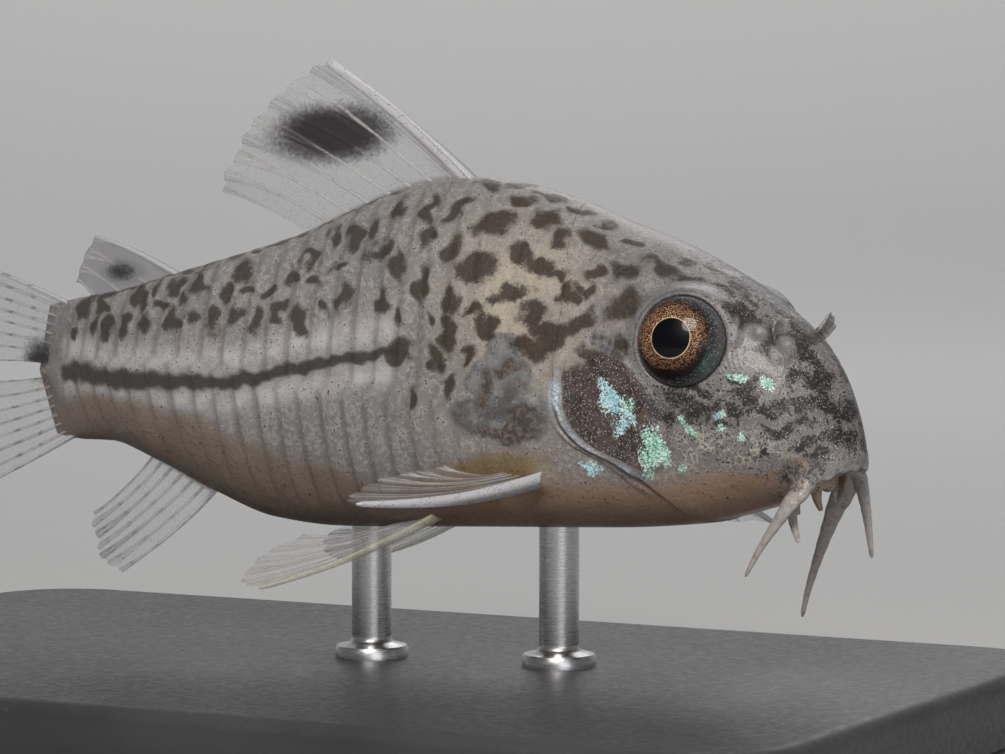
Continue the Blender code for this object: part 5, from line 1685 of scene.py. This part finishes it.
def make_camera():
    """The photograph's view: from the fish's right, a little ahead, and slightly above."""
    pixel = VIEW_DISTANCE / (LENS / SENSOR_WIDTH * PHOTO_WIDTH)
    back = Vector((math.sin(VIEW_AZIMUTH) * math.cos(VIEW_ELEVATION),
                   -math.cos(VIEW_AZIMUTH) * math.cos(VIEW_ELEVATION), math.sin(VIEW_ELEVATION)))
    right = Vector((math.cos(VIEW_AZIMUTH), math.sin(VIEW_AZIMUTH), 0))
    up = back.cross(right)
    eye = Vector(place(*EYE_IN_VIEW))
    pixels_right, pixels_up = EYE_PIXELS
    lens_data = bpy.data.cameras.new("camera")
    lens_data.lens = LENS
    lens_data.sensor_width = SENSOR_WIDTH
    lens_data.clip_start = 0.01
    lens_data.clip_end = 10
    camera = bpy.data.objects.new("camera", lens_data)
    spot = (eye + back * VIEW_DISTANCE - right * (pixels_right * pixel)
            - up * (pixels_up * pixel))
    camera.matrix_world = axes_matrix(right, up, back, spot)
    bpy.context.scene.collection.objects.link(camera)
    bpy.context.scene.camera = camera


def area_light(name, spot, aim, size, power, colour):
    """A soft round light that looks at a point."""
    data = bpy.data.lights.new(name, "AREA")
    data.shape = "DISK"
    data.size = size
    data.energy = power
    data.color = colour
    lamp = bpy.data.objects.new(name, data)
    lamp.location = spot
    lamp.rotation_euler = (Vector(aim) - Vector(spot)).to_track_quat("-Z", "Y").to_euler()
    bpy.context.scene.collection.objects.link(lamp)


def make_studio():
    """A pale floor that sweeps up all round, a soft sky and four soft lights."""
    floor = Shader("studio_floor", roughness=0.85)
    floor.set("Base Color", (0.56, 0.555, 0.55))
    profile = [(0.001, 0.0), (0.30, 0.0)]
    for angle in np.linspace(0, math.pi / 2, 24):
        profile.append((0.35 + SWEEP_RADIUS * math.sin(angle),
                        SWEEP_RADIUS * (1 - math.cos(angle))))
    profile.append((0.35 + SWEEP_RADIUS, 1.6))
    angles = ring_angles(BOWL_SIDES)
    grid = [np.stack([reach * np.cos(angles), reach * np.sin(angles),
                      np.full(BOWL_SIDES, height - FLOOR_GAP)], axis=-1)
            for reach, height in profile]
    floor_object = mesh_object("studio_bowl", np.array(grid).reshape(-1, 3),
                               grid_faces(len(profile), BOWL_SIDES, True))
    floor.put_on(floor_object)
    world = bpy.data.worlds.new("studio")
    world.use_nodes = True
    sky = world.node_tree.nodes["Background"]
    sky.inputs["Color"].default_value = (0.92, 0.96, 1.0, 1.0)
    sky.inputs["Strength"].default_value = 0.34
    bpy.context.scene.world = world
    for light in LIGHTS:
        area_light(*light)


def main():
    """Makes every piece, the camera and the studio."""
    make_camera()
    skin, paths = make_skin()
    paint_skin(skin, paths)
    stands_for(skin, skin_material(), "trunk", "head", "trunk", "tail_stem",
               "gill_cover_right", "gill_cover_left", *BARBELS)
    eye_look = eye_material()
    for side, sign in zip(("right", "left"), SIDES):
        stands_for(make_eye("eyeball_" + side, sign), eye_look, "eye", "eye_" + side)
    make_fins(fin_material())
    make_base()
    make_rods()
    make_studio()
    bpy.context.scene.view_settings.view_transform = "Standard"


main()
